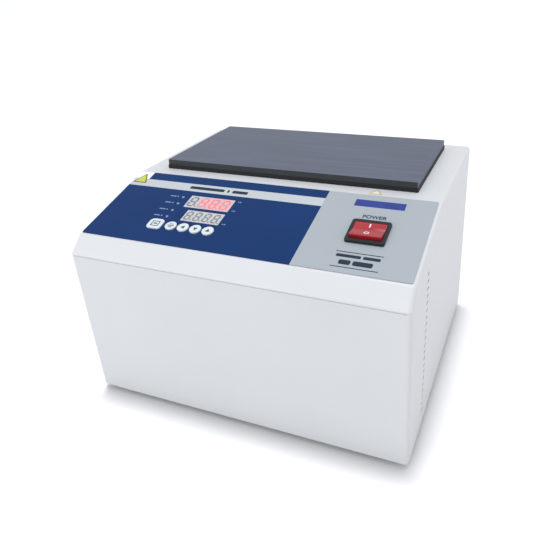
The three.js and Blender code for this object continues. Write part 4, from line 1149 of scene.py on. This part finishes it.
def inlet():
    """The mains inlet: a rounded flange, the keyed socket and the slot for the fuse drawer."""
    low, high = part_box("inlet_housing")
    x, z = middle((low, high), "xz")
    face = -high.y
    wall = -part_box("rear_panel")[1].y
    flange = footprint((low, high), INLET_CORNER, axes="xz")
    obj = slab("inlet_body", flange, face, wall - 0.02 * MM, upright(), ease_low=0.6 * MM)
    punch(obj, rectangle(*INLET_BODY, 1 * MM, x, z), wall - 0.5 * MM, -low.y, upright(), "UNION")
    carve(obj, inlet_hollows)
    place_piece(obj, "black_plastic", "inlet_housing")


def keyed_socket(x, z):
    """The outline of the socket: a rectangle with two chamfered upper corners."""
    bottom, top = z - SOCKET_BELOW, z + SOCKET_ABOVE
    left, right = x - SOCKET_HALF, x + SOCKET_HALF
    return rounded([
        (left, bottom, 1.2 * MM),
        (right, bottom, 1.2 * MM),
        (right, top - SOCKET_CHAMFER, 0.8 * MM),
        (x + SOCKET_SHOULDER, top, 0.8 * MM),
        (x - SOCKET_SHOULDER, top, 0.8 * MM),
        (left, top - SOCKET_CHAMFER, 0.8 * MM),
    ], 4)


def inlet_hollows(bm):
    """The socket, the drawer's way, the blades' slots and the screws' holes."""
    low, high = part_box("inlet_housing")
    face = -high.y
    outside = face - 5 * MM
    prism(bm, keyed_socket(*middle((low, high), "xz")), outside, face + SOCKET_DEPTH, upright())
    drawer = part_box("fuse_drawer")
    way = footprint(drawer, 0.4 * MM, DRAWER_GAP, "xz")
    prism(bm, way, outside, -drawer[0].y + DRAWER_GAP, upright())
    for pin in INLET_BLADES:
        slot = rectangle(*BLADE_SLOT, 0, *middle(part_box(pin), "xz"))
        prism(bm, slot, face, -low.y + 2 * MM, upright())
    for node in INLET_SCREWS:
        hole = circle(SCREW_HOLE, *middle(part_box(node), "xz"), FINE_STEPS)
        prism(bm, hole, outside, 5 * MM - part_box("rear_panel")[1].y, upright())


def blades():
    """The inlet's three contact blades."""
    for pin in INLET_BLADES:
        low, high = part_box(pin)
        section = footprint((low, high), 0.4 * MM, axes="xz", steps=3)
        obj = slab(pin + "_blade", section, -high.y, -low.y, upright(), ease_low=0.5 * MM)
        place_piece(obj, "brass_contact", pin)


def fuse_drawer():
    """The fuse drawer, with a grip slot in its face and a tray for the fuse."""
    low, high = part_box("fuse_drawer")
    x, z = middle((low, high), "xz")
    face = -high.y
    outline = footprint((low, high), 0.4 * MM, axes="xz")
    obj = slab("fuse_tray", outline, face, -low.y, upright(), ease_low=0.3 * MM)
    trough = rectangle(5.4 * MM, 8 * MM, 0.2 * MM, x, z + 1.9 * MM)
    grip = rectangle(8 * MM, 1.6 * MM, 0.3 * MM, x, z - 1.2 * MM)

    def hollows(bm):
        prism(bm, trough, face + 2.4 * MM, -low.y - 0.8 * MM, upright())
        prism(bm, grip, face - 1 * MM, face + 0.8 * MM, upright())

    carve(obj, hollows)
    place_piece(obj, "black_plastic", "fuse_drawer", body="drawer")


def fuse():
    """The glass fuse with its two end caps, riding in the drawer."""
    low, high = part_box("fuse")
    x, z = middle((low, high), "xz")
    axis = upright(x, 0, z)
    radius, start, end = (high.z - low.z) / 2, -high.y, -low.y
    glass, reach = radius * 0.94, 1 * MM
    tube = solid("fuse_tube", lambda bm: spin(bm, [(0, start + reach), (glass, start + reach),
                                                   (glass, end - reach), (0, end - reach)], axis, 32))
    place_piece(tube, "fuse_glass", "fuse", body="drawer")

    def caps(bm):
        for near, far in ((start, start + FUSE_CAP), (end - FUSE_CAP, end)):
            spin(bm, [(0, near), (radius, near), (radius, far), (0, far)], axis, 32)

    ends = solid("fuse_caps", caps)
    place_piece(ends, "bright_steel", body="drawer")


# ---- Assembly ----

camera()
paint_frame()
studio()
cover()
rear_panel()
screws()
feet()
lid()
gasket()
trim()
heat_block()
film()
captions()
display("display_actual", " 480", 7.4 * MM, 13.6 * MM, 1.7 * MM)
display("display_set", "    ", 6.2 * MM, 11.6 * MM, 1.5 * MM)
keys()
indicators()
rocker_switch()
labels()
inlet()
blades()
fuse_drawer()
fuse()
